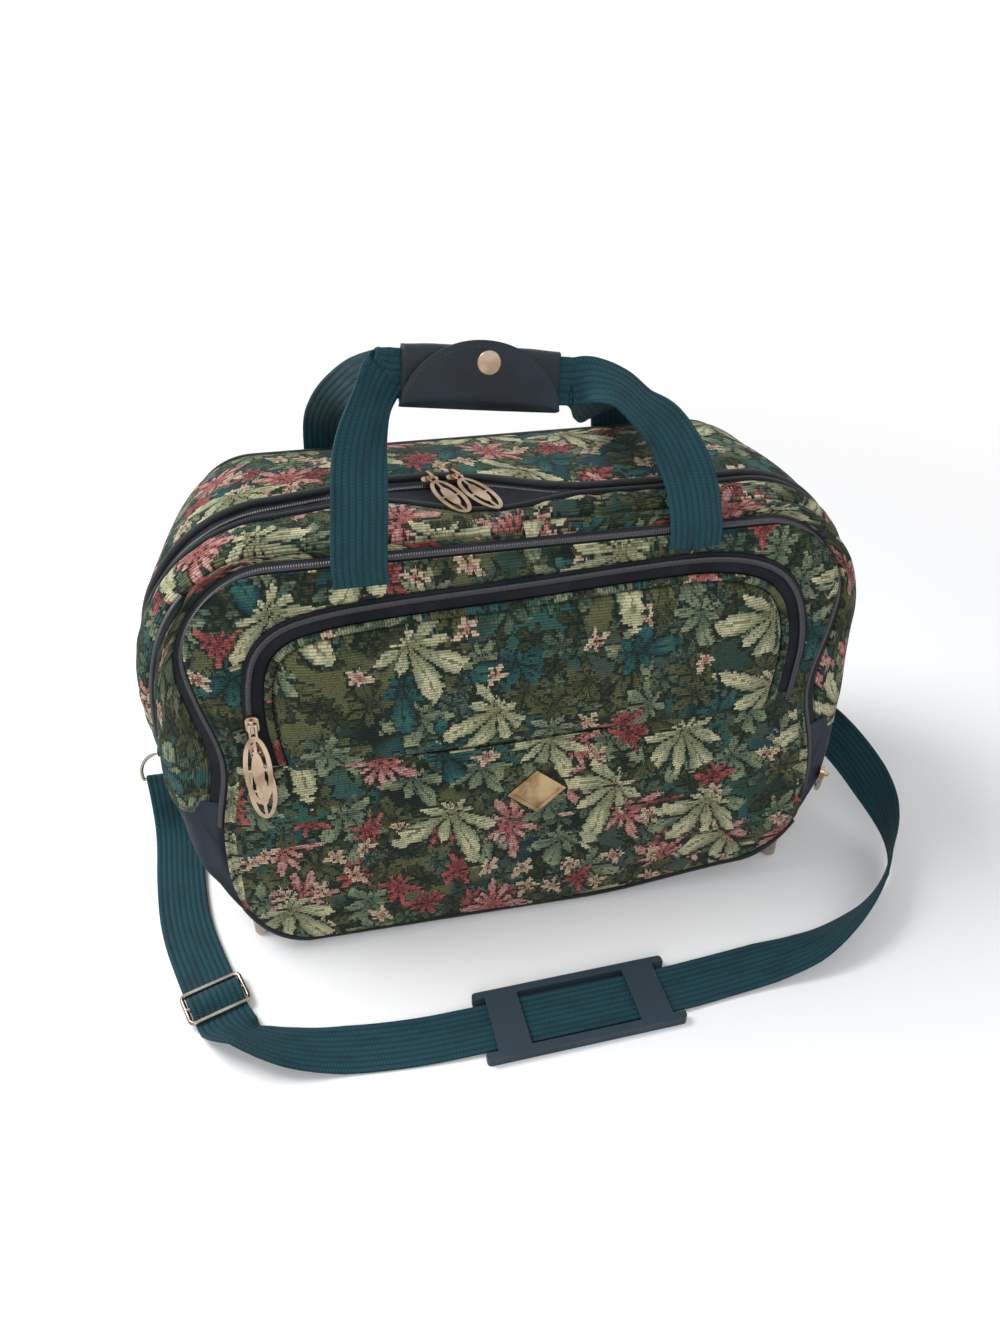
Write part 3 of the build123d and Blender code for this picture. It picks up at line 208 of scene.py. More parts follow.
def arc_lengths(points, axis):
    """Distances along a grid from its first row or column, counted along each line."""
    steps = np.linalg.norm(np.diff(points, axis=axis), axis=-1)
    return np.concatenate((np.zeros_like(np.take(steps, [0], axis)), np.cumsum(steps, axis)), axis)


def distance_gone(line):
    """Distance from a line's first point to each of its points, along the line."""
    return np.concatenate(([0], np.cumsum(np.linalg.norm(np.diff(line[:, :3], axis=0), axis=1))))


def unit(vectors):
    """Vectors scaled to length one."""
    return vectors / np.maximum(np.linalg.norm(vectors, axis=-1, keepdims=True), 1e-9)


def surface(name, points, uv, closed=False):
    """Mesh of a grid of points in millimetres, one quad a cell, with its cloth coordinates in metres. A
    closed one joins its last column to its first."""
    rows, cols = points.shape[:2]
    number = np.arange(rows * cols).reshape(rows, cols)
    if closed:
        number = np.concatenate((number, number[:, :1]), 1)
    corners = number[:-1, :-1], number[1:, :-1], number[1:, 1:], number[:-1, 1:]
    quads = np.stack(corners, -1).reshape(-1, 4)
    mesh = bpy.data.meshes.new(name)
    mesh.from_pydata((points.reshape(-1, 3) * MM).tolist(), [], quads.tolist())
    layer = mesh.uv_layers.new(name="cloth")
    flat = np.stack(np.broadcast_arrays(*uv), -1).reshape(-1, 2) * MM
    layer.data.foreach_set("uv", flat[quads.reshape(-1)].astype(np.float32).reshape(-1))
    mesh.polygons.foreach_set("use_smooth", np.ones(len(quads), bool))
    mesh.update()
    return placed(name, mesh)


def placed(name, data):
    """New object of a mesh, a curve, a lamp or a camera, linked to the scene."""
    item = bpy.data.objects.new(name, data)
    bpy.context.scene.collection.objects.link(item)
    return item


def facing_out(item, inside):
    """Turns a mesh's faces so that they look away from a point inside."""
    mesh = item.data
    centres = np.empty(len(mesh.polygons) * 3)
    normals = np.empty(len(mesh.polygons) * 3)
    mesh.polygons.foreach_get("center", centres)
    mesh.polygons.foreach_get("normal", normals)
    away = (centres.reshape(-1, 3) - np.array(inside) * MM) * normals.reshape(-1, 3)
    if away.sum() < 0:
        mesh.flip_normals()


def dress(item, body, material, slot, *hidden, thick=0.0, inside=BODY_INSIDE):
    """Gives a new piece its body, material and wall, and hides the solids that it stands for. Its finish slot
    is not used.
    A closed piece that already faces outwards has no point inside."""
    if inside is not None:
        facing_out(item, inside)
    item.data.materials.append(material)
    if thick:
        wall = item.modifiers.new("wall", "SOLIDIFY")
        wall.thickness = thick * MM
        wall.offset = -1
    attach(item, body)
    if hidden:
        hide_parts(*hidden)


def between(front, back, around, rows, end_height=None):
    """Grid of the body's points from one seam to another. With an end height, each row is drawn out or in
    so that both its ends stop at that height."""
    t = np.linspace(0, 1, rows)[:, None]
    around = np.broadcast_to(around, (rows, around.shape[1]))
    near, far = share_at(front, around), share_at(back, around)
    for _ in range(3 if end_height else 0):
        share = near + (far - near) * t
        around = around * down_to(share[:, -1:], end_height) / around[:, -1:]
        near, far = share_at(front, around), share_at(back, around)
    return section(near + (far - near) * t, around)


def shell(name, front, back, low, high, rows, cols, puff, seed, folds=1.0, sink=3.5, end_height=None):
    """A panel of the body between two seams: the section's points, pushed out by a crown that is highest
    between the seams, by ripples and by puckers along both seams, and sunk at the seams themselves."""
    points = between(front, back, np.linspace(low, high, cols)[None, :], rows, end_height)
    along, across = arc_lengths(points, 1), arc_lengths(points, 0)
    run = along.mean(0, keepdims=True)
    edge = np.minimum(across, across[-1:] - across)
    crown = puff * (1 - (1 - np.clip(edge / 22, 0, 1)) ** 2)
    pucker = 1.1 * folds * ripple(run, 0 * run, seed + 1, 26) * np.exp(-edge / 14) * smooth(0, 3, edge)
    slack = 1.7 * folds * ripple(run, across, seed, 95) * smooth(4, 40, edge)
    floor = smooth(FOOT_HEIGHT, FOOT_HEIGHT + 26, points[..., 2])
    push = (crown + pucker + slack) * floor - sink * np.exp(-edge / 2.2)
    points = points + outward(points) * push[..., None]
    return surface(name, points, (run, across - across.mean() + 0 * run))


def on_face(x, z, out=0.0):
    """Point on the leaning front face at a width and a height, a distance out of it."""
    x, z, out = np.broadcast_arrays(x, z, out)
    base = np.stack((x, face_depth(z), z), -1)
    return base + FACE_OUT * out[..., None]


def dome(name, outline, middle, height, edge, rows, seed, slack, out):
    """A cushion on the front face: rings shrink from the outline to its middle, and rise over the edge
    width as sqrt(1 - (1 - d)^2), d being the distance from the outline over that width. Ripples lie on it."""
    r = np.linspace(1, 0.0, rows)[:, None] ** 1.4
    flat = np.array(middle) + (outline[None] - np.array(middle)) * r[..., None]
    gap = np.linalg.norm(outline[None] - flat, axis=-1)
    rise = np.sqrt(np.clip(1 - (1 - np.clip(gap / edge, 0, 1)) ** 2, 0, 1)) * height
    rise = rise + slack * ripple(flat[..., 0], flat[..., 1], seed, 85) * smooth(0, 1, gap / edge)
    points = on_face(flat[..., 0], flat[..., 1], out + rise)
    return surface(name, points, (flat[..., 0], flat[..., 1]), closed=True)


def round_path(points, count):
    """Smooth open line: the corners of a polyline are cut three times (Chaikin), then points are taken
    at equal distances."""
    line = np.array(points, float)
    for _ in range(3):
        quarter = line[:-1] * 0.75 + line[1:] * 0.25
        rest = line[:-1] * 0.25 + line[1:] * 0.75
        line = np.concatenate((line[:1], np.stack((quarter, rest), 1).reshape(-1, line.shape[1]), line[-1:]))
    return evenly(line, count)


def evenly(line, count):
    """Points at equal distances along a line of points."""
    gone = distance_gone(line)
    wanted = np.linspace(0, gone[-1], count)
    return np.stack([np.interp(wanted, gone, line[:, k]) for k in range(line.shape[1])], 1)


def bar(name, line, facing, outline_of, around):
    """A long piece carried along a line: at each point its section lies on the across and the facing
    direction. outline_of gives the section's two coordinates from the angle round it and the run."""
    ahead = unit(np.gradient(line, axis=0))
    across = unit(np.cross(facing, ahead))
    normal = np.cross(ahead, across)
    run = arc_lengths(line[:, None], 0)
    angle = np.linspace(0, 2 * np.pi, around, endpoint=False)[None, :]
    a, b = np.broadcast_arrays(*outline_of(angle, run))
    points = line[:, None] + across[:, None] * a[..., None] + normal[:, None] * b[..., None]
    item = surface(name, points, (a, run), closed=True)
    close_ends(item, points.shape)
    return item


def close_ends(item, shape):
    """Fills the first and the last ring of a long piece with one face each."""
    made = bmesh.new()
    made.from_mesh(item.data)
    made.verts.ensure_lookup_table()
    rows, cols = shape[:2]
    made.faces.new([made.verts[k] for k in range(cols)])
    made.faces.new([made.verts[(rows - 1) * cols + k] for k in range(cols)])
    bmesh.ops.recalc_face_normals(made, faces=made.faces)
    made.to_mesh(item.data)
    made.free()


def rib_section(wide, thick, ribs=9, depth=0.45):
    """Section of ribbed webbing: a flat round-edged band, its thickness times a swell that is greatest
    along each lengthwise rib."""
    def outline(angle, run):
        side = np.cos(angle)
        a = wide / 2 * np.clip(1.12 * side, -1, 1)
        rise = np.sign(np.sin(angle)) * np.clip(np.abs(np.sin(angle)) * 2.4, 0, 1) ** 0.5
        swell = 1 + depth * np.abs(np.cos(np.pi * ribs * a / wide)) - depth / 2
        return a + 0 * run, rise * thick / 2 * swell + 0 * run
    return outline


def oval_section(wide, high):
    """Elliptical section."""
    return lambda angle, run: (wide / 2 * np.cos(angle) + 0 * run, high / 2 * np.sin(angle) + 0 * run)


def coil_section(wide, high, pitch=1.7, depth=0.35):
    """Section of a zip's closed teeth: an oval whose height and width beat once a tooth."""
    def outline(angle, run):
        beat = 1 - depth * (0.5 + 0.5 * np.cos(2 * np.pi * run / pitch))
        return wide / 2 * np.cos(angle) * (0.75 + 0.25 * beat), high / 2 * np.sin(angle) * beat
    return outline


def body_line(depth, around, out):
    """Line round the body at a depth and a distance out, with the body's outward directions there."""
    share = share_at(depth, around)
    grid = np.stack([section(share + step, around) for step in (-0.004, 0, 0.004)])
    normal = outward(grid)[1]
    return grid[1] + normal * out, normal


def around_at(height, side, share=0.3):
    """Place round the section at which one side of the body passes a height."""
    tries = np.linspace(0.2, 0.84, 2000)
    z = section(np.full_like(tries, share), tries)[:, 2]
    return side * tries[np.argmin(np.abs(z - height))]


class Value:
    """A shader socket: Python's operators on it add its Math nodes."""

    def __init__(self, kit, socket):
        self.kit, self.socket = kit, socket

    def maths(self, operation, *others):
        return self.kit.node("ShaderNodeMath", {"operation": operation}, self, *others)

    def __add__(self, other):
        return self.maths("ADD", other)

    def __sub__(self, other):
        return self.maths("SUBTRACT", other)

    def __mul__(self, other):
        return self.maths("MULTIPLY", other)

    def __truediv__(self, other):
        return self.maths("DIVIDE", other)

    def __rsub__(self, other):
        return self.kit.node("ShaderNodeMath", {"operation": "SUBTRACT"}, other, self)

    def __lt__(self, other):
        return self.maths("LESS_THAN", other)

    def __gt__(self, other):
        return self.maths("GREATER_THAN", other)

    def __abs__(self):
        return self.maths("ABSOLUTE")

    __radd__, __rmul__ = __add__, __mul__

    def sin(self):
        return self.maths("SINE")

    def cos(self):
        return self.maths("COSINE")

    def most(self, other):
        return self.maths("MAXIMUM", other)

    def fraction(self):
        return self.maths("FRACT")

    def soft(self, low, high):
        """0 below low and 1 above high, with a smooth step between them."""
        return self.kit.node("ShaderNodeMapRange", {"interpolation_type": "SMOOTHSTEP"}, self, low, high)


class Finish:
    """A material under construction: one Principled shader and the nodes that feed it."""

    def __init__(self, name):
        self.material = bpy.data.materials.new(name)
        self.material.use_nodes = True
        self.tree = self.material.node_tree
        self.tree.nodes.clear()
        self.shader = self.tree.nodes.new("ShaderNodeBsdfPrincipled")
        output = self.tree.nodes.new("ShaderNodeOutputMaterial")
        self.tree.links.new(self.shader.outputs[0], output.inputs[0])

    def put(self, socket, value):
        """Links a Value to a socket, or sets the socket's own constant."""
        if isinstance(value, Value):
            self.tree.links.new(value.socket, socket)
        elif socket.type == "RGBA" and len(value) == 3:
            socket.default_value = (*value, 1)
        else:
            socket.default_value = value

    def node(self, kind, settings=None, *values, out=0):
        """Adds a node: its settings first, then its sockets' values or links, in their order."""
        node = self.tree.nodes.new(kind)
        for key, value in (settings or {}).items():
            setattr(node, key, value)
        for socket, value in zip([s for s in node.inputs if s.enabled], values):
            self.put(socket, value)
        return Value(self, node.outputs[out])

    def vectors(self, operation, *values, out=0):
        return self.node("ShaderNodeVectorMath", {"operation": operation}, *values, out=out)

    def mix(self, factor, first, second):
        """Colour from the first (factor 0) to the second (factor 1)."""
        return self.node("ShaderNodeMix", {"data_type": "RGBA", "clamp_factor": True},
                         factor, first, second, out=2)

    def cloth(self):
        """The piece's own cloth coordinates, in metres."""
        return self.split(self.node("ShaderNodeUVMap", {"uv_map": "cloth"}))

    def split(self, vector):
        parts = self.tree.nodes.new("ShaderNodeSeparateXYZ")
        self.put(parts.inputs[0], vector)
        return [Value(self, out) for out in parts.outputs]

    def join(self, x, y, z=0.0):
        return self.node("ShaderNodeCombineXYZ", None, x, y, z)

    def place(self):
        """Object coordinates, in metres."""
        return self.node("ShaderNodeTexCoord", None, out="Object")

    def noise(self, vector, scale, detail=2.0, flat=True):
        return self.node("ShaderNodeTexNoise", {"noise_dimensions": "2D" if flat else "3D"},
                         vector, scale, detail)

    def finish(self, color, roughness, bump=None, depth=0.001, **plain):
        """Feeds the shader: colour, roughness, a bump of a depth in metres and plain numbers by name."""
        self.put(self.shader.inputs["Base Color"], color)
        self.put(self.shader.inputs["Roughness"], roughness)
        for key, value in plain.items():
            self.put(self.shader.inputs[key.replace("_", " ").title().replace("Ior", "IOR")], value)
        if bump is not None:
            relief = self.node("ShaderNodeBump")
            node = relief.socket.node
            node.inputs["Strength"].default_value = 1.0
            node.inputs["Distance"].default_value = depth
            self.put(node.inputs["Height"], bump)
            self.put(self.shader.inputs["Normal"], relief)
        return self.material


DARK_GREEN, BOTTLE, OLIVE = (0.013, 0.022, 0.017), (0.036, 0.072, 0.052), (0.130, 0.135, 0.062)
TEAL, BLUE_TEAL, SAGE = (0.045, 0.150, 0.125), (0.016, 0.066, 0.085), (0.300, 0.340, 0.200)
CREAM, MOSS, GREY_GREEN = (0.66, 0.62, 0.38), (0.070, 0.080, 0.035), (0.140, 0.185, 0.120)
CORAL, ROSE = (0.30, 0.055, 0.045), (0.43, 0.13, 0.13)
PALE_PINK, WINE = (0.62, 0.38, 0.32), (0.12, 0.022, 0.028)
WEFT_PITCH, WARP_PITCH, FLOAT_STEP = 0.0019, 0.0012, 0.0010
RIB_PITCH, PICK_PITCH = 0.00425, 0.0021
TURN = 6.283
SEEN_RAYS = "Is Camera Ray", "Is Glossy Ray", "Is Transmission Ray"


def fan(f, spot, color, scale, move, size, lobes, tints, share,
        spin=TURN, droop=0.0, teeth=3.4, barbs=260.0):
    """A fan of pointed leaf lobes, one to a random cell, laid over a colour: a lobe's midrib lies where
    tri = 1, and a point is inside while tri (0.72 + 0.42 saw) > (r / L)^2.8, L being its lobe's length."""
    moved = f.vectors("ADD", spot, (move, move * 0.61, 0))
    cell = f.node("ShaderNodeTexVoronoi", {"voronoi_dimensions": "2D"}, moved, scale)
    holder = cell.socket.node
    holder.inputs["Randomness"].default_value = 0.85
    kinds = f.split(Value(f, holder.outputs["Color"]))
    x, y = f.split(f.vectors("SUBTRACT", moved, Value(f, holder.outputs["Position"])))[:2]
    r = (x * x + y * y).maths("SQRT")
    turn = x.maths("ARCTAN2", y * -1) + (kinds[0] - 0.5) * spin
    place = turn * (lobes / TURN) + kinds[1] * 3.0
    tri = 1 - abs(place.fraction() * 2.0 - 1)
    length = ((place.maths("FLOOR") * 2.4 + kinds[1] * 20.0).sin() * 0.24 + 0.76) * size
    length = length * (turn.cos() * droop + (1 - droop)) if droop else length
    q = r / length
    saw = (r * (teeth * 100.0) - tri * 2.2).fraction()
    edge = tri * (saw * 0.42 + 0.72) - q.maths("POWER", 2.8)
    chosen = kinds[2] < share
    inside, rim = edge.soft(0.0, 0.09) * chosen, (edge + 0.17).soft(0.0, 0.05) * chosen
    light, shade, deep = tints
    hue = f.mix(tri.soft(0.30, 0.72), shade, light)
    stripe = ((tri * 6.0 + r * barbs).sin() * 0.5 + 0.5).soft(0.25, 0.8)
    hue = f.mix(stripe * 0.50, hue, shade)
    hue = f.mix((1 - q).soft(0.45, 0.95) * 0.7, hue, deep)
    hue = f.mix((tri > 0.93) * (q < 0.72) * 0.75, hue, deep)
    hue = f.mix((0.20 - tri).soft(0.0, 0.1), hue, DARK_GREEN)
    color = f.mix(rim * 0.92, color, DARK_GREEN)
    return f.mix(inside, color, hue), inside


def tapestry_finish(name, shift, pink, low_pink=0.0, teal=0.35):
    """Woven thicket of leaves with flowers among them. The cloth coordinates are stepped into short weft
    floats first, so every outline is ragged as in weaving."""
    f = Finish(name)
    u, v = f.cloth()[:2]
    height_share = (0.125 - v).soft(0.0, 0.05) * low_pink + pink
    u, v = u + shift, v + shift * 0.37
    row = (v / WEFT_PITCH).maths("FLOOR")
    jitter = f.noise(f.join(u, row * 0.37), 420.0, 0.0) - 0.5
    stepped = ((u + jitter * 0.0035) / FLOAT_STEP).maths("FLOOR") * FLOAT_STEP
    spot = f.join(stepped, row * WEFT_PITCH)
    drift = f.node("ShaderNodeTexNoise", {"noise_dimensions": "2D"}, spot, 22.0, 3.0, out=1)
    bent = f.vectors("MULTIPLY_ADD", drift, (0.013, 0.013, 0.0), spot)
    patches = [f.noise(f.vectors("ADD", spot, (k * 3.1, k * 1.7, 0)), 8.0 + k, 3.0) for k in range(4)]
    color = f.mix(patches[0].soft(0.40, 0.55), DARK_GREEN, BOTTLE)
    color = f.mix(patches[1].soft(0.50, 0.58) * teal * 2, color, TEAL)
    color = f.mix(patches[2].soft(0.48, 0.56), color, OLIVE)
    color = f.mix(patches[3].soft(0.55, 0.62) * teal * 2, color, BLUE_TEAL)
    height = 0
    for scale, move, size, lobes, tints, share, spin, droop in (
            (44.0, 0.0, 0.017, 5, (MOSS, DARK_GREEN, DARK_GREEN), 0.75, TURN, 0.0),
            (36.0, 2.3, 0.021, 6, (GREY_GREEN, BOTTLE, DARK_GREEN), 0.6, TURN, 0.2),
            (25.0, 4.7, 0.031, 7, (OLIVE, MOSS, DARK_GREEN), 0.6, TURN, 0.25),
            (20.0, 8.9, 0.038, 7, (SAGE, GREY_GREEN, BOTTLE), 0.75, 3.0, 0.3),
            (17.0, 12.1, 0.040, 6, (TEAL, BLUE_TEAL, DARK_GREEN), teal, 4.0, 0.3)):
        color, inside = fan(f, bent, color, scale, move, size, lobes, tints, share, spin, droop)
        height = height + inside * 0.15
    for scale, move, size, lobes, tints, share in (
            (24.0, 1.9, 0.019, 9, (ROSE, CORAL, WINE), height_share),
            (15.0, 6.1, 0.032, 11, (PALE_PINK, ROSE, CORAL), height_share * 0.9),
            (33.0, 3.3, 0.012, 6, (PALE_PINK, CREAM, CORAL), height_share * 0.8 + 0.05)):
        color, inside = fan(f, bent, color, scale, move, size, lobes, tints, share, teeth=6.0, barbs=420.0)
        height = height + inside * 0.2
    color, inside = fan(f, bent, color, 10.5, 15.7, 0.066, 9, (CREAM, SAGE, OLIVE), 0.85,
                        spin=1.6, droop=0.42, teeth=2.0, barbs=190.0)
    height = height + inside * 0.3
    float_gap = (v / WEFT_PITCH).fraction() - 0.5
    weft = 1 - float_gap * float_gap * 4.0
    thread_gap = (u / WARP_PITCH + row * 0.5).fraction() - 0.5
    warp = 1 - thread_gap * thread_gap * 4.0
    fleck = f.noise(spot, 900.0, 0.0).soft(0.58, 0.72)
    color = f.mix(fleck * 0.35, color, DARK_GREEN)
    # painted shade: the colour darkens in the grooves between the weft floats
    color = f.mix((1 - weft) * 0.28, color, (0.008, 0.012, 0.010))
    return f.finish(color, 0.9, height + weft + warp * 0.35, 0.0008, sheen_weight=0.04, sheen_roughness=0.5,
                    specular_ior_level=0.1)


def webbing_finish():
    """Petrol ribbed webbing: painted shade darkens the furrows between the lengthwise ribs, and short picks
    cross every rib, half a step on from rib to rib, made lighter by a painted highlight."""
    f = Finish("webbing")
    across, along = f.cloth()[:2]
    rib = across / RIB_PITCH
    ridge = abs((rib * math.pi).cos())
    lane = (rib + 0.5).maths("FLOOR")
    pick = (along / PICK_PITCH + lane * 0.5).fraction() - 0.5
    pick = 1 - pick * pick * 4.0
    fade = f.noise(f.join(across * 3.0, along), 34.0, 2.0)
    # painted shade: the furrows between the ribs are darker than the rib tops
    color = f.mix(ridge.soft(0.05, 0.8), (0.0015, 0.007, 0.009), (0.0055, 0.042, 0.056))
    # painted highlight: the crossing picks are lighter than the rest of the rib
    color = f.mix(pick.soft(0.1, 0.9) * 0.5, color, (0.009, 0.062, 0.082))
    color = f.mix(fade.soft(0.45, 0.7) * 0.35, color, (0.003, 0.016, 0.022))
    return f.finish(color, 0.74, ridge * 0.6 + pick * 0.45, 0.0006, sheen_weight=0.03,
                    specular_ior_level=0.25)


def weave_finish(name, dark, light, pitch, roughness, sheen=0.1):
    """Plain fine weave: warp and weft each beat once a pitch, with a slow change of shade."""
    f = Finish(name)
    u, v = f.cloth()[:2]
    beat = (u * (TURN / pitch)).sin() * (v * (TURN / pitch)).sin()
    slow = f.noise(f.join(u, v), 22.0, 3.0)
    color = f.mix(slow.soft(0.35, 0.65), dark, light)
    color = f.mix((beat * 0.5 + 0.5) * 0.25, color, dark)
    return f.finish(color, roughness, beat, 0.0002, sheen_weight=sheen, specular_ior_level=0.22)


def leather_finish():
    """Smooth dark navy leather: fine grain cells and a slow change of shade."""
    f = Finish("leather")
    spot = f.place()
    grain = f.node("ShaderNodeTexVoronoi", {"feature": "DISTANCE_TO_EDGE"}, spot, 900.0)
    slow = f.noise(spot, 30.0, 3.0, flat=False)
    color = f.mix(slow.soft(0.3, 0.7), (0.003, 0.008, 0.013), (0.008, 0.017, 0.025))
    return f.finish(color, slow.soft(0.2, 0.8) * 0.14 + 0.42, grain.soft(0.0, 0.12), 0.00012,
                    specular_ior_level=0.35)


def metal_finish(name, color, roughness, tarnish):
    """Plated metal with a fine grain and darker, warmer patches."""
    f = Finish(name)
    spot = f.place()
    slow = f.noise(spot, 60.0, 4.0, flat=False)
    fine = f.noise(spot, 700.0, 2.0, flat=False)
    tint = f.mix(slow.soft(0.35, 0.75), color, tarnish)
    return f.finish(tint, fine * 0.12 + roughness, fine, 0.00004, metallic=1.0)


def plain_finish(name, color, roughness, grain=900.0):
    """Moulded plastic, thread or board: a fine grain and a slow change between two close shades."""
    f = Finish(name)
    spot = f.place()
    fine = f.noise(spot, grain, 2.0, flat=False)
    slow = f.noise(spot, 24.0, 3.0, flat=False)
    tint = f.mix(slow.soft(0.3, 0.7), color, tuple(0.75 * part for part in color))
    return f.finish(tint, slow * 0.1 + roughness, fine, 0.00008)


def floor_finish():
    """Pale floor that keeps the object's shadow near it, and turns to plain white further away and, in
    part, for what the camera or a mirroring surface sees."""
    f = Finish("floor")
    f.finish((0.93, 0.93, 0.935), 0.9, specular_ior_level=0.2)
    away = f.vectors("LENGTH", f.place(), out="Value")
    seen = f.node("ShaderNodeLightPath")
    eyes = [Value(f, seen.socket.node.outputs[ray]) for ray in SEEN_RAYS]
    share = (away.soft(0.5, 1.25) * 0.94 + 0.06) * eyes[0].most(eyes[1]).most(eyes[2])
    glow, mix = f.tree.nodes.new("ShaderNodeEmission"), f.tree.nodes.new("ShaderNodeMixShader")
    out = next(node for node in f.tree.nodes if node.bl_idname == "ShaderNodeOutputMaterial")
    f.put(mix.inputs[0], share)
    f.tree.links.new(f.shader.outputs[0], mix.inputs[1])
    f.tree.links.new(glow.outputs[0], mix.inputs[2])
    f.tree.links.new(mix.outputs[0], out.inputs[0])
    return f.material


front_cloth = tapestry_finish("tapestry_front", 0.0, 0.12, 0.4, 0.3)
top_cloth = tapestry_finish("tapestry_top", 1.31, 0.5, 0.0, 0.9)
side_cloth = tapestry_finish("tapestry_side", 2.77, 0.42)
nylon = weave_finish("nylon", (0.006, 0.010, 0.020), (0.014, 0.024, 0.044), 0.0012, 0.6, sheen=0.05)
zip_cloth = weave_finish("zip_tape", (0.006, 0.008, 0.012), (0.016, 0.019, 0.027), 0.0010, 0.7, sheen=0.0)
piping_cloth = weave_finish("piping", (0.004, 0.007, 0.008), (0.012, 0.017, 0.018), 0.0009, 0.5)
webbing_cloth = webbing_finish()
leather = leather_finish()
teeth = plain_finish("zip_coil", (0.018, 0.018, 0.024), 0.32, grain=300.0)
metal = metal_finish("pale_brass", (0.50, 0.38, 0.28), 0.22, (0.26, 0.17, 0.10))
plate_metal = metal_finish("plate_brass", (0.55, 0.40, 0.22), 0.30, (0.20, 0.12, 0.05))
steel = metal_finish("ring_metal", (0.42, 0.37, 0.32), 0.22, (0.22, 0.17, 0.13))
pad_plastic = plain_finish("pad_plastic", (0.012, 0.030, 0.046), 0.6)
foot_red = plain_finish("foot_cap", (0.30, 0.012, 0.012), 0.25)
board = plain_finish("board", (0.03, 0.03, 0.03), 0.6)
thread = plain_finish("thread", (0.02, 0.03, 0.04), 0.6, grain=2000.0)
tab_cloth = plain_finish("tab_cloth", (0.012, 0.05, 0.065), 0.65)

SIDE_GUSSET = around_at(GUSSET_TOP, 1)
MAIN_END = around_at(MAIN_ZIP_END, 1, 0.5)
SIDE_END, SIDE_TOP = around_at(SIDE_ZIP_END, 1), around_at(292, 1, 0.12)
FRONT_LEFT_END, FRONT_RIGHT_END = around_at(138, -1, 0.05), around_at(60, 1, 0.05)


def side_edge(distance):
    """Line beside the side seam: a zip's half width off it on the sides, close to it below and on top."""
    def depth(x, z):
        return side_seam(x, z) + distance * np.where(z > SIDE_ZIP_END, 1 - 0.93 * smooth(282, 300, z), 0.33)
    return depth


def main_edge(line, distance=0.0):
    """One of the main zip's lines, or one beside it; below the zip's end all of them close up."""
    def depth(x, z):
        seam = main_seam(x, z)
        return seam + (line(x, z) + distance - seam) * (0.15 + 0.85 * smooth(88, 104, z))
    return depth


def cloth_panels():
    """The three tapestry sections round the body, and the two nylon gussets."""
    rear = shell("rear_cloth", main_edge(main_rear), BACK - 5, -1, 1, 70, 420, 3.0, 3)
    middle = shell("middle_cloth", side_edge(SIDE_ZIP_HALF), main_edge(main_near), -1, 1,
                   48, 460, 4.5, 8, folds=1.5)
    front = shell("front_cloth", behind(FRONT_ZIP_BACK), side_edge(-SIDE_ZIP_HALF), -SIDE_GUSSET, SIDE_GUSSET,
                  30, 400, 3.5, 15, folds=1.3, end_height=GUSSET_TOP - CLOTH_LAP)
    for item, cloth, solid in ((rear, top_cloth, "main_compartment"), (middle, side_cloth, "middle_section"),
                               (front, side_cloth, "front_compartment")):
        dress(item, "bag", cloth, "tapestry", solid, thick=CLOTH_THICK)
    for name, side in (("left_gusset", -1), ("right_gusset", 1)):
        dress(gusset(name + "_cloth", side), "bag", nylon, "nylon", name, thick=NYLON_THICK)


def gusset(name, side):
    """Nylon panel low on a side, folded along its middle: a narrow valley between two soft ridges, which
    fades out towards the base. Each row starts under the tapestry's lower edge and ends under the base."""
    run = np.linspace(0, 1, 150)[None, :]
    t = np.linspace(0, 1, 40)[:, None]
    around = SIDE_GUSSET + (GUSSET_UNDER - SIDE_GUSSET) * run + 0 * t
    for _ in range(4):
        near, far = share_at(behind(1.5), around), share_at(side_edge(-1), around)
        share = near + (far - near) * t
        start = down_to(share[:, :1], GUSSET_TOP + GUSSET_LAP)
        around = start + (GUSSET_UNDER - start) * run
    points = section(share, around) * (side, 1, 1)
    fade = smooth(10, 60, points[..., 2])
    valley = -6.0 * hump(0.52, 0.09, t) + 2.5 * hump(0.3, 0.14, t) + 2.0 * hump(0.76, 0.12, t)
    crease = 0.8 * ripple(arc_lengths(points, 1), arc_lengths(points, 0) * 3, 44, 60)
    edge = -3.0 * (hump(0, 0.04, t) + hump(1, 0.04, t))
    points = points + outward(points) * ((valley + crease) * fade + edge)[..., None]
    return surface(name, points, (arc_lengths(points, 1), arc_lengths(points, 0)))


POCKET_MIDDLE = 5.0, 215.0
POCKET_PATH = ((-190, 168), (-194, 200), (-193, 228), (-186, 255), (-168, 272), (-140, 279), (-95, 283),
               (0, 286), (90, 291), (140, 291), (178, 280), (198, 256), (205, 220), (202, 192), (199, 170))


def pocket_cover(x, z):
    """1 under the front pocket and its zip, 0 outside, from each point's distance to the pocket's middle
    against the outline's in the same direction."""
    outline = pocket_line(-3.0)
    low = np.stack((np.linspace(outline[-1, 0], outline[0, 0], 60), np.full(60, 150.0)), 1)
    ring = np.concatenate((outline, low)) - POCKET_MIDDLE
    angle = np.arctan2(ring[:, 1], ring[:, 0])
    order = np.argsort(angle)
    x, z = x - POCKET_MIDDLE[0], z - POCKET_MIDDLE[1]
    reach = np.interp(np.arctan2(z, x), angle[order], np.hypot(*ring.T)[order], period=2 * np.pi)
    return smooth(-9, 0, reach - np.hypot(x, z))


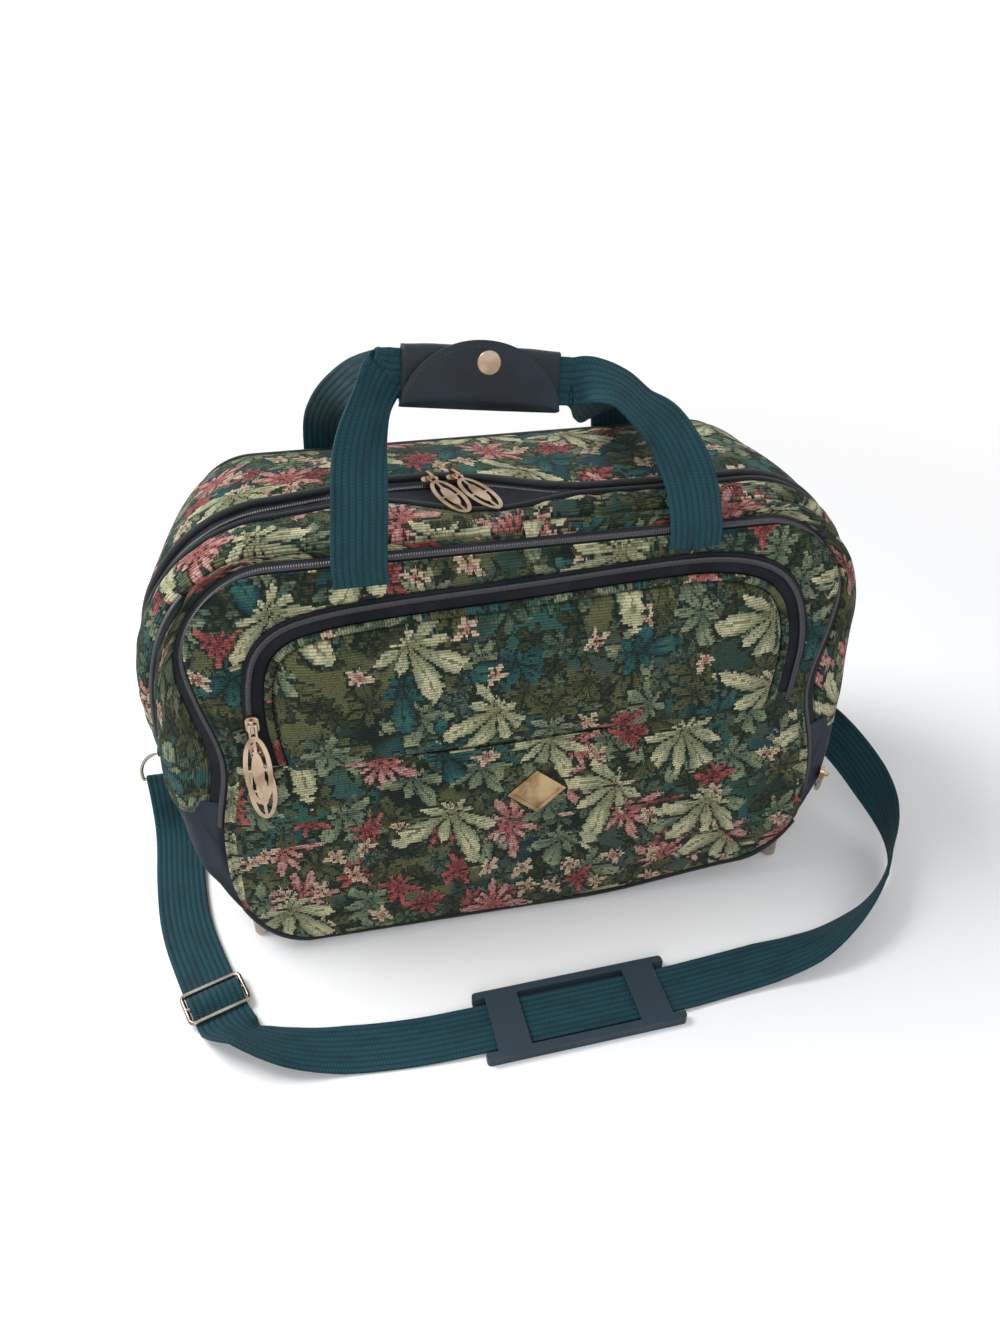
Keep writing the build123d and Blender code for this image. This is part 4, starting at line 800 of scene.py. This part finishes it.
def end_panel(name, share, crown, seed, slack):
    """Front or back face with the strip that turns over its edge: rings grow from the middle to the
    outline, and the last ones lie a little way along the body's side. The face is lifted by a crown, which
    rises over 40 mm from the outline, and by ripples, and sinks under the pocket."""
    around = np.linspace(-1, 1, 420, endpoint=False)[None, :]
    rim = section(np.full_like(around, share), around)[0]
    front, face = share < 0.5, face_depth(PANEL_MIDDLE)
    middle = np.array((0, face + (BACK - face) * share, PANEL_MIDDLE))
    r = np.concatenate((np.linspace(0.0, 0.96, 60) ** 0.8, (0.975, 0.987, 0.996)))[:, None, None]
    cap = middle + (rim[None] - middle) * r
    out = FACE_OUT if front else np.array((0.0, 1.0, 0.0))
    gap = np.linalg.norm(rim[None] - cap, axis=-1)
    lift = crown * np.sqrt(np.clip(1 - (1 - np.clip(gap / 40, 0, 1)) ** 2, 0, 1))
    lift = lift + slack * ripple(cap[..., 0], cap[..., 2], seed, 90) * smooth(5, 50, gap)
    if front:
        covered = pocket_cover(cap[..., 0], cap[..., 2])
        lift = lift * (1 - covered) - 0.8 * covered
    cap = cap + out * (lift - 2.2 * np.exp(-gap / 2.0))[..., None]
    steps = (0.2, 0.6, 1.0, 1.3) if front else (0.5, 2, 4, 5.4)
    places = [behind(step) if front else BACK - step for step in steps]
    sides = np.stack([section(share_at(place, around[0]), around[0]) for place in places])
    sides[-1] = sides[-1] * 0.985 + middle * 0.015
    points = np.concatenate((cap, sides))
    return surface(name, points, (points[..., 0], points[..., 2] * STRETCH), closed=True)


def hem_height(x):
    """Height of the lower panel's hem: a shallow curve that rises to both sides, more to the right."""
    return 162.5 + 0.00027 * (x + 12) ** 2 + 0.012 * x


def lower_seam(x):
    """Height of the sewn line across the lower panel, which dips towards its middle."""
    return 92 + 0.00042 * (x - 40) ** 2


def front_half(z, side):
    """Half width of the front face at a height, to its left (-1) or right (1)."""
    rim = section(np.zeros(500), side * np.linspace(0.2, 0.97, 500))
    return np.interp(z, rim[::-1, 2], side * rim[::-1, 0])


def lower_panel():
    """Layer over the foot of the front face: a grid across, out to the face's sides, and up from the foot
    line to the hem. It is crowned, rippled, flat under the plate, and sunk at its seam and its edges."""
    across = np.linspace(-1, 1, 300)[None, :]
    up = np.concatenate((np.linspace(0, 0.94, 70), (0.955, 0.97, 0.985, 0.995, 1.0)))[:, None]
    nearly = across * 214.0
    foot = 8.5 + corner_rise(nearly)
    z = foot + (hem_height(nearly) - foot) * up
    x = across * (np.where(across < 0, front_half(z, -1), front_half(z, 1)) - 3.0)
    to_hem, to_side = hem_height(x) - z, (1 - abs(across)) * 215
    by_plate = hump(0, 42, np.hypot(x - 4, z - 118))
    lift = 3.0 * smooth(0, 45, to_hem) * smooth(0, 25, to_side) * smooth(0, 30, z - foot)
    lift = lift + 1.5 * ripple(x, z, 31, 88) * smooth(3, 30, to_hem) * smooth(0, 20, to_side)
    lift = 2.3 + lift * (1 - by_plate)
    lift = lift - 1.6 * hump(0, 1.6, z - lower_seam(x))
    lift = lift - 0.9 * hump(7, 1.3, to_hem) + 0.7 * hump(2.5, 2.5, to_hem)
    lift = lift - 2.0 * np.exp(-to_side / 3)
    return surface("lower_cloth", on_face(x, z, lift), (x + 500, z * STRETCH))


def pocket_line(inset, count=420):
    """Line of the front pocket: up from the hem on the left, over round corners, down on the right."""
    line = round_path(POCKET_PATH, count)
    ahead = unit(np.gradient(line, axis=0))
    return line + np.stack((ahead[:, 1], -ahead[:, 0]), 1) * inset


def strip_on_face(name, line, wide, height, rows=9):
    """Flat strip carried along a line on the front face; height gives its rise from the place across."""
    ahead = unit(np.gradient(line, axis=0))
    side = np.stack((ahead[:, 1], -ahead[:, 0]), 1)
    t = np.linspace(-0.5, 0.5, rows)[:, None]
    flat = line[None] + side[None] * (t * wide)[..., None]
    run = arc_lengths(np.broadcast_to(flat[rows // 2][None], flat.shape), 1)
    points = on_face(flat[..., 0], flat[..., 1], height(t * wide))
    return surface(name, points, (t * wide + 0 * run, run))


def on_pocket(name, inset, count, outline, around):
    """A long piece carried along the pocket's line, at an inset from it."""
    edge = pocket_line(inset, count)
    line = on_face(edge[:, 0], edge[:, 1], 2.6)
    return bar(name, line, np.broadcast_to(FACE_OUT, line.shape), outline, around=around)


def tape_rise(across):
    """Rise of the pocket's zip tape: it falls at both edges and has a low ridge inside each of them."""
    return 1.6 - 1.0 * np.exp(-((abs(across) - 7.7) / 1.2) ** 2) + 0.5 * hump(5.6, 0.7, abs(across))


def front_pocket():
    """Bulged pocket with its zip and its self-fabric piping."""
    outline = pocket_line(16.0)
    foot = np.linspace(outline[-1], outline[0], 120)[1:-1]
    foot[:, 1] -= 6
    ring = np.concatenate((outline, foot))
    pocket = dome("pocket_cloth", ring, POCKET_MIDDLE, 11.0, 26.0, 60, seed=5, slack=2.0, out=0.6)
    dress(pocket, "bag", front_cloth, "tapestry", "front_pocket", thick=CLOTH_THICK)
    tape = strip_on_face("pocket_zip_cloth", pocket_line(4.0), 15.5, tape_rise)
    dress(tape, "bag", zip_cloth, "zip_tape", "pocket_zip_tape", thick=0.8)
    coil = on_pocket("pocket_zip_teeth", 1.0, 2600, coil_section(5.0, 2.4), 8)
    dress(coil, "bag", teeth, "zip_coil", "pocket_zip_coil", inside=None)
    edging = on_pocket("pocket_edge_piping", 14.0, 420, oval_section(5.6, 5.0), 14)
    dress(edging, "bag", front_cloth, "tapestry", "pocket_piping", inside=None)


def body_zip(name, seam, edges, spans, tape_node, coil_node, rows=13, dip=-1.2, folds=0.4):
    """Zip that follows the body over one or two stretches: a tape sunk between its two edges and a line
    of teeth."""
    tapes, coils = [], []
    for low, high in spans:
        tapes.append(shell(name + "_cloth", *edges, low, high, rows, 420, dip, 60, folds=folds, sink=1.5))
        line, normal = body_line(seam, np.linspace(low, high, 3000 // len(spans)), 0.4 + dip * 0.8)
        coils.append(bar(name + "_teeth", line, normal, coil_section(5.2, 2.6), around=8))
    dress(joined(name + "_cloth", tapes), "bag", zip_cloth, "zip_tape", tape_node, thick=TAPE_THICK)
    dress(joined(name + "_teeth", coils), "bag", teeth, "zip_coil", coil_node, inside=None)


def piping(name, depth, around, thick):
    """Round piping along a line of the body, nearly half sunk in it."""
    line, normal = body_line(depth, around, 0.6)
    return bar(name, line, normal, oval_section(thick, thick), around=12)


def joined(name, items):
    """One mesh object from several."""
    bpy.ops.object.select_all(action="DESELECT")
    for item in items:
        item.select_set(True)
    bpy.context.view_layer.objects.active = items[0]
    bpy.ops.object.join()
    items[0].name = name
    return items[0]


def pipings():
    """Pipings of the back edge, the front bottom edge, the two side seams and both sides of the main zip."""
    edge = piping("back_edge_piping", BACK - 4.5, np.linspace(-0.99, 0.99, 500), 4.6)
    dress(edge, "bag", piping_cloth, "piping", "back_piping", inside=None)
    low, last = around_at(62, 1, 0.03), around_at(26, 1, 0.1)
    under = np.concatenate((np.linspace(low, 1, 120), np.linspace(-1, -low, 120)[1:]))
    edge = piping("front_edge_piping", behind(0.8), under, 4.6)
    dress(edge, "bag", piping_cloth, "piping", "front_piping", inside=None)
    halves = [piping("side_edge_piping", side_seam, np.linspace(*ends, 160), 5.2)
              for ends in ((-last, -SIDE_END), (SIDE_END, last))]
    dress(joined("side_edge_piping", halves), "bag", piping_cloth, "piping", "side_piping", inside=None)
    for name, line, thick in (("main_rear_piping", main_rear, 6.0), ("main_near_piping", main_near, 4.0)):
        edge = piping(name, main_edge(line), np.linspace(-MAIN_END, MAIN_END, 500), thick)
        dress(edge, "bag", piping_cloth, "piping", inside=None)


# The shoulder strap's places, from the right ring over the floor, the pad and the buckle to the left ring,
# and the direction of its width at each of them. A second layer comes back from the left ring.
STRAP_ROUTE = (
    (279, 30, 64.6), (282, 12, 63), (300, -22, 57), (312, -70, 43), (312, -115, 31), (294, -149, 24),
    (262, -178, 21), (226, -197, 15), (196, -206, 8.5), (160, -208, 3.5), (108, -213, 2.3), (85, -216, 3.6),
    (-62, -222, 3.6), (-108, -222, 1.3), (-160, -218, 1.8), (-196, -213, 9), (-228, -199, 15),
    (-238.5, -180.7, 4.3), (-242, -170.9, 3.8), (-244.8, -163.3, 12.2), (-247.2, -156.7, 12.2),
    (-250, -149.1, 3.8), (-253.5, -139.3, 3.8), (-271, -87, 3.8), (-278, -30, 3.8), (-279, 4, 9),
    (-279, 22.4, 30), (-279, 27.4, 62))
STRAP_ACROSS = (
    (1, 0, 0), (1, 0, 0.2), (0.6, 0, 0.8), (0.5, 0, 0.87), (0.1, 0, 1), (-0.2, -0.1, 0.97),
    (-0.15, -0.5, 0.85), (-0.1, -0.8, 0.6), (-0.1, -0.95, 0.3), (-0.15, -1, 0.05), (-0.1, -1, 0),
    (-0.04, -1, 0), (-0.04, -1, 0), (0, -1, 0), (0.05, -1, 0), (-0.1, -0.95, 0.22), (-0.5, -0.6, 0.55),
    *((-0.94, -0.34, 0),) * 6, (-0.93, -0.2, 0), (-1, -0.1, 0), *((-1, 0, 0),) * 3)
LOWER_ROUTE = (
    (-245.7, -160.9, 4.2), (-248.7, -152.5, 1.7), (-253.5, -139.3, 1.7), (-271, -87, 1.9), (-278, -30, 1.9),
    (-279, 10, 9), (-279, 27.6, 30), (-279, 32.6, 62))
LOWER_ACROSS = (*((0.94, 0.34, 0),) * 3, (0.93, 0.2, 0), (1, 0.1, 0), *((1, 0, 0),) * 3)
RING_BAR, BUCKLE_BAR = (279, 30, 62), (-246, -160, 7.0)


def nurbs_line(route, count):
    """Smooth line with the route's points as its control points, read back from Blender's own curve."""
    data = bpy.data.curves.new("route", "CURVE")
    data.dimensions = "3D"
    data.resolution_u = 24
    spline = data.splines.new("NURBS")
    spline.points.add(len(route) - 1)
    for point, place in zip(spline.points, route):
        point.co = (*place, 1)
    spline.order_u = 3
    spline.use_endpoint_u = True
    holder = placed("route", data)
    bpy.context.view_layer.update()
    mesh = bpy.data.meshes.new_from_object(holder)
    line = np.array([vertex.co for vertex in mesh.vertices])
    bpy.data.objects.remove(holder)
    bpy.data.meshes.remove(mesh)
    return evenly(line, count)


def strap_run(name, route, across, count):
    """Ribbed webbing along a route; its width direction is blended between the route's points by the
    distance gone."""
    line = nurbs_line(route, count)
    marks = distance_gone(np.array(route, float))
    gone = np.linspace(0, marks[-1], count)
    wide = np.stack([np.interp(gone, marks, np.array(across, float)[:, k]) for k in range(3)], 1)
    ahead = unit(np.gradient(line, axis=0))
    facing = unit(np.cross(ahead, unit(wide)))
    return bar(name, line, facing, rib_section(WEB_WIDE, STRAP_THICK), around=72), line


def loop_round(name, centre, along, spread, radius):
    """Webbing sleeve round a bar: a ribbed band carried along a circle about it."""
    turn = np.linspace(0, 2 * np.pi, 40)
    along, spread = unit(np.array(along, float)), unit(np.array(spread, float))
    up = np.cross(along, spread)
    line = np.array(centre) + radius * (np.cos(turn)[:, None] * spread + np.sin(turn)[:, None] * up)
    return bar(name, line, unit(line - np.array(centre)), rib_section(WEB_WIDE, LOOP_THICK), around=72)


def shoulder_strap():
    """The strap, its second layer, and the loops round both ring bars and the buckle's middle bar."""
    main, line = strap_run("strap_webbing", STRAP_ROUTE, STRAP_ACROSS, 900)
    dress(main, "bag", webbing_cloth, "webbing", "shoulder_strap", inside=None)
    lower, _ = strap_run("strap_lower_layer", LOWER_ROUTE, LOWER_ACROSS, 260)
    x, y, z = RING_BAR
    loops = [loop_round("strap_loops", (side * x, y, z), (1, 0, 0), (0, 1, 0), 2.6) for side in (-1, 1)]
    loops.append(loop_round("strap_loops", BUCKLE_BAR, (0.94, 0.342, 0), (0.342, -0.940, 0), 2.8))
    loops = joined("strap_loops", loops)
    for item in (lower, loops):
        dress(item, "bag", webbing_cloth, "webbing", inside=None)


WRAP_LEFT, WRAP_RIGHT = np.array((-72.0, -30.0, 413.0)), np.array((30.0, -30.0, 401.0))
WRAP_TILT, WRAP_HIGH, WRAP_THICK, WRAP_HALF = 10.0, 38.0, 12.6, 51.0
FLAP_RISE, FLAP_END_RISE, FLAP_HALF, FLAP_OFF = 43.0, 5.0, 51.5, 3.4
WEB_OFF, FOOT_OFF = 1.5, 1.6
wrap_along = unit(WRAP_RIGHT - WRAP_LEFT)
wrap_out = np.array((0, -math.cos(math.radians(WRAP_TILT)), math.sin(math.radians(WRAP_TILT))))
wrap_up = unit(np.cross(wrap_out, wrap_along))
wrap_out = np.cross(wrap_along, wrap_up)
wrap_middle = (WRAP_LEFT + WRAP_RIGHT) / 2


def curve_through(points, per=24):
    """Catmull-Rom line through points, with equal steps at the end."""
    p = np.array(points, float)
    p = np.concatenate((2 * p[:1] - p[1:2], p, 2 * p[-1:] - p[-2:-1]))
    t = np.linspace(0, 1, per, endpoint=False)[None, :, None]
    a, b, c, d = (p[k:len(p) - 3 + k, None] for k in range(4))
    square, cube = 2 * a - 5 * b + 4 * c - d, 3 * b - a - 3 * c + d
    line = 0.5 * (2 * b + (c - a) * t + square * t * t + cube * t ** 3)
    return np.concatenate((line.reshape(-1, p.shape[1]), p[-2:-1]))


def handle(name, stations, node):
    """Ribbed webbing through stations, each a place with the direction that the band's face looks in. It
    is 16 percent narrower inside the wrap and widens again outside it."""
    line = evenly(curve_through([(*place, *look) for place, look in stations]), 420)
    middle = np.linalg.norm(line[:, :3] - wrap_middle, axis=1)
    slim = 1 - 0.16 * hump(62, 26, np.maximum(middle, 62))
    band = rib_section(WEB_WIDE - 2, HANDLE_THICK)

    def outline(angle, run):
        a, b = band(angle, run)
        return a * slim[:, None], b
    item = bar(name, line[:, :3], unit(line[:, 3:]), outline, around=72)
    dress(item, "bag", webbing_cloth, "webbing", node, inside=None)


def through_wrap(side):
    """Stations of a handle's straight stretch through the wrap, before (1) or behind (-1) its middle."""
    off, on = side * wrap_out * WEB_OFF, wrap_along * 9
    places = WRAP_LEFT + off - on, WRAP_LEFT + off, WRAP_RIGHT + off, WRAP_RIGHT + off + on
    return [(place, tuple(wrap_out)) for place in places]


def handles():
    """Both handles, from their left foot on the front or the back face, through the wrap, to the right."""
    face = (0, -1, 0.11)
    handle("front_handle_webbing", [
        ((-110, face_depth(296) - FOOT_OFF, 296), face), ((-110, face_depth(314) - 1.8, 314), face),
        ((-106, -75, 350), (0, -0.92, 0.4)), ((-104, -66, 367), (0.1, -0.9, 0.4)),
        ((-100, -56, 383), (0.3, -0.85, 0.3)), ((-91, -43, 402), (0.45, -0.85, 0.1)),
        *through_wrap(1),
        ((54, -36, 402), (0.1, -0.7, 0.7)), ((70, -40, 397), (0.2, -0.5, 0.85)),
        ((85, -45, 384), (0.45, -0.6, 0.66)), ((99, -50, 372), (0.3, -0.85, 0.45)),
        ((108, -60, 357), (0.1, -0.9, 0.42)), ((114, -72, 338), (0, -0.9, 0.42)),
        ((115, face_depth(317) - 1.8, 317), face), ((115, face_depth(300) - FOOT_OFF, 300), face)],
        "front_handle")
    foot = BACK + FOOT_OFF
    handle("rear_handle_webbing", [
        ((-119, foot, 288), (0, -1, 0)), ((-119, foot, 306), (0, -1, -0.1)),
        ((-117, 104, 332), (-0.2, -0.8, -0.55)), ((-112, 70, 356), (-0.45, -0.6, -0.65)),
        ((-104, 30, 380), (-0.85, -0.4, -0.35)), ((-94, -4, 401), (-0.75, -0.65, 0)),
        *through_wrap(-1),
        ((54, -8, 387), (0.6, -0.75, -0.2)), ((68, 20, 368), (0.6, -0.65, -0.4)),
        ((90, 58, 344), (0.3, -0.65, -0.7)), ((111, 102, 328), (0, -0.6, -0.8)),
        ((118, foot, 306), (0, -1, -0.1)), ((118, foot, 288), (0, -1, 0))], "rear_handle")


def in_wrap(along, up, out):
    """Point in the leather wrap's own directions."""
    along, up, out = np.broadcast_arrays(along, up, out)
    return wrap_middle + wrap_along * along[..., None] + wrap_up * up[..., None] + wrap_out * out[..., None]


def flap_top(along):
    """Height of the flap's arched edge above its fold: low at both ends, a long arch between."""
    arch = np.clip(1 - np.abs(along / FLAP_HALF) ** 2.1, 0, 1) ** 0.66
    return FLAP_END_RISE + (FLAP_RISE - FLAP_END_RISE) * arch


def flap_out(along, t):
    """How far the flap lies before the wrap's middle: it bows along its length and a little up it."""
    bow = 1.1 * np.cos(np.clip(along / FLAP_HALF, -1, 1) * np.pi / 2) + 0.5 * np.sin(t * np.pi)
    return WRAP_THICK / 2 + FLAP_OFF + bow


def dashes(name, line, facing, long, gap, thick):
    """Stitches: short oval bars, each a few rings of points, laid along a line one after the other."""
    rings, sides = 5, 6
    gone = distance_gone(line)
    starts = np.arange(gap / 2, gone[-1] - long, long + gap)
    t = np.linspace(0, 1, rings)
    at = starts[:, None] + long * t
    points = np.stack([np.interp(at, gone, line[:, k]) for k in range(3)], -1)
    looks = np.stack([np.interp(at, gone, facing[:, k]) for k in range(3)], -1)
    ahead = unit(np.gradient(points, axis=1))
    across = np.cross(looks, ahead)
    angle = np.linspace(0, 2 * np.pi, sides, endpoint=False)
    size = (thick / 2 * np.sqrt(np.clip(1 - (2 * t - 1) ** 4, 0.02, 1)))[None, :, None, None]
    ring = across[:, :, None] * np.cos(angle)[:, None] + looks[:, :, None] * np.sin(angle)[:, None] * 0.7
    grid = points[:, :, None] + ring * size
    number = np.arange(len(starts) * rings * sides).reshape(-1, rings, sides)
    around = np.concatenate((number, number[:, :, :1]), 2)
    corners = around[:, :-1, :-1], around[:, :-1, 1:], around[:, 1:, 1:], around[:, 1:, :-1]
    quads = np.stack(corners, -1).reshape(-1, 4)
    mesh = bpy.data.meshes.new(name)
    caps = number[:, 0, ::-1].tolist() + number[:, -1].tolist()
    mesh.from_pydata((grid.reshape(-1, 3) * MM).tolist(), [], quads.tolist() + caps)
    mesh.update()
    return placed(name, mesh)


def leather_wrap():
    """Leather sleeve round both handles, its section a superellipse, with an arched flap folded up over
    its front and a row of stitches inside the flap's edge."""
    turn = np.linspace(0, 2 * np.pi, 64, endpoint=False)[None, :]
    along = np.linspace(-WRAP_HALF, WRAP_HALF, 40)[:, None]
    up = (WRAP_HIGH / 2) * np.sign(np.sin(turn)) * np.abs(np.sin(turn)) ** 0.6
    out = (WRAP_THICK / 2) * np.sign(np.cos(turn)) * np.abs(np.cos(turn)) ** 0.6
    pinch = 1 - 0.05 * smooth(30, WRAP_HALF, abs(along))
    sleeve = surface("wrap_sleeve", in_wrap(along, up * pinch, out), (along, up), closed=True)
    dress(sleeve, "bag", leather, "leather", "handle_wrap", thick=2.0, inside=tuple(wrap_middle))
    x = np.linspace(-FLAP_HALF, FLAP_HALF, 90)[None, :]
    t = np.linspace(0, 1, 40)[:, None]
    rise = flap_top(x) * t
    fold = hump(0, 0.10, t)
    spots = in_wrap(x, -WRAP_HIGH / 2 + rise - 1.2 * fold, flap_out(x, t) - 7.5 * fold)
    flap = surface("wrap_flap", spots, (x, rise))
    dress(flap, "bag", leather, "leather", thick=1.8, inside=tuple(wrap_middle))
    edge = np.linspace(-48.5, 48.5, 200)
    height = flap_top(edge) - 4.0 - 1.0 * smooth(35, 48, abs(edge))
    t = np.clip(height / flap_top(edge), 0, 1)
    line = in_wrap(edge, -WRAP_HIGH / 2 + height, flap_out(edge, t) + 0.15)
    stitches = dashes("wrap_stitches", line, np.broadcast_to(wrap_out, line.shape), 2.3, 1.3, 0.7)
    dress(stitches, "bag", thread, "leather", inside=None)


def seam_stitches():
    """Rows of stitches on both sides of the main zip and along the pocket's zip."""
    rows = []
    for seam, distance in ((main_rear, 5.0), (main_near, -4.0)):
        line, normal = body_line(main_edge(seam, distance), np.linspace(-MAIN_END, MAIN_END, 600), 1.0)
        rows.append(dashes("zip_stitches", line, normal, *STITCH))
    edge = pocket_line(12.2)
    line = on_face(edge[:, 0], edge[:, 1], 2.2)
    rows.append(dashes("zip_stitches", line, np.broadcast_to(FACE_OUT, line.shape), *STITCH))
    dress(joined("zip_stitches", rows), "bag", thread, "zip_tape", inside=None)


def kept_solids():
    """The CAD's own metal, plastic and hidden pieces, with their materials."""
    finishes = {metal: [n for n in nodes if n.endswith(("_slider", "_pull"))] + ["snap_cap", "snap_socket"],
                steel: ["left_ring", "right_ring", "strap_buckle", "foot_rims"],
                plate_metal: ["lozenge_plate"], pad_plastic: ["shoulder_pad"], foot_red: ["foot_caps"],
                board: ["base_board", "base_panel"], tab_cloth: ["left_ring_tab", "right_ring_tab"]}
    for finish, names in finishes.items():
        for name in names:
            nodes[name].data.materials.clear()
            nodes[name].data.materials.append(finish)


def face_panels():
    """Front face, back face and the lower front panel."""
    front = end_panel("front_face_cloth", 0.0, 3.0, 21, 1.6)
    dress(front, "bag", front_cloth, "tapestry", "front_panel", thick=CLOTH_THICK)
    back = end_panel("back_face_cloth", 1.0, 3.0, 27, 1.6)
    dress(back, "bag", top_cloth, "tapestry", "back_panel", thick=CLOTH_THICK)
    dress(lower_panel(), "bag", front_cloth, "tapestry", "lower_panel", thick=CLOTH_THICK)


def body_zips():
    """Main zip over the top, side zip up both sides, and front zip over the top beside the front face."""
    # painted shade: the main zip's dark tape runs forward to its near edge, over the shaded hollow in front
    # of the teeth
    edges = main_edge(main_near), main_edge(main_rear)
    body_zip("main_zip", main_seam, edges, [(-MAIN_END, MAIN_END)], "main_zip_tape", "main_zip_coil",
             rows=30, dip=-3.0, folds=1.3)
    edges = side_edge(-SIDE_ZIP_HALF), side_edge(SIDE_ZIP_HALF)
    body_zip("side_zip", side_seam, edges, [(-SIDE_END, -SIDE_TOP), (SIDE_TOP, SIDE_END)],
             "side_zip_tape", "side_zip_coil")
    edges = behind(FRONT_ZIP_NEAR), behind(FRONT_ZIP_BACK)
    body_zip("front_zip", behind(FRONT_ZIP_COIL), edges, [(FRONT_LEFT_END, FRONT_RIGHT_END)],
             "front_zip_tape", "front_zip_coil")


cloth_panels()
face_panels()
front_pocket()
body_zips()
pipings()
handles()
leather_wrap()
seam_stitches()
shoulder_strap()
kept_solids()


LAMPS = (("key", (-1.3, 0.5, 1.9), 46, 1.1), ("front", (-0.5, -2.2, 1.5), 20, 1.6),
         ("right", (1.9, -0.4, 1.2), 3, 1.4))
LAMP_TARGET = 0, 0, 0.15


def room():
    """Pale floor, white surroundings for the camera, a soft key from the left and behind, and two fills."""
    bpy.ops.mesh.primitive_plane_add(size=12)
    floor = bpy.context.object
    floor.name = "floor"
    floor.data.materials.append(floor_finish())
    world = bpy.data.worlds.new("studio")
    bpy.context.scene.world = world
    world.use_nodes = True
    tree = world.node_tree
    tree.nodes.clear()
    seen = tree.nodes.new("ShaderNodeLightPath")
    light, white = tree.nodes.new("ShaderNodeBackground"), tree.nodes.new("ShaderNodeBackground")
    mix, out = tree.nodes.new("ShaderNodeMixShader"), tree.nodes.new("ShaderNodeOutputWorld")
    light.inputs["Color"].default_value = (0.95, 0.97, 1.0, 1)
    light.inputs["Strength"].default_value = 0.5
    white.inputs["Color"].default_value = (1, 1, 1, 1)
    either = [tree.nodes.new("ShaderNodeMath") for _ in SEEN_RAYS[1:]]
    tree.links.new(seen.outputs[SEEN_RAYS[0]], either[0].inputs[0])
    tree.links.new(either[0].outputs[0], either[1].inputs[0])
    for node, ray in zip(either, SEEN_RAYS[1:]):
        node.operation = "MAXIMUM"
        tree.links.new(seen.outputs[ray], node.inputs[1])
    tree.links.new(either[1].outputs[0], mix.inputs[0])
    tree.links.new(light.outputs[0], mix.inputs[1])
    tree.links.new(white.outputs[0], mix.inputs[2])
    tree.links.new(mix.outputs[0], out.inputs[0])
    for name, place, power, size in LAMPS:
        data = bpy.data.lights.new(name, "AREA")
        data.energy, data.size = power, size
        lamp = placed(name, data)
        lamp.location = place
        lamp.rotation_euler = (Vector(LAMP_TARGET) - Vector(place)).to_track_quat("-Z", "Y").to_euler()


CAMERA_PLACE, CAMERA_TURN, CAMERA_PITCH, CAMERA_LENS = (-0.133, -0.6458, 0.6261), -11.48, 35.43, 36


def camera():
    """Camera of the photograph: its place, its turn about the upright and its pitch below the level."""
    data = bpy.data.cameras.new("camera")
    data.sensor_fit, data.sensor_width, data.lens = "HORIZONTAL", 36, CAMERA_LENS
    item = placed("camera", data)
    turn = Matrix.Rotation(math.radians(CAMERA_TURN), 4, "Z")
    tip = Matrix.Rotation(math.pi / 2 - math.radians(CAMERA_PITCH), 4, "X")
    item.matrix_world = Matrix.Translation(CAMERA_PLACE) @ (turn @ tip)
    bpy.context.scene.camera = item


room()
camera()
bpy.context.scene.view_settings.view_transform = "Standard"
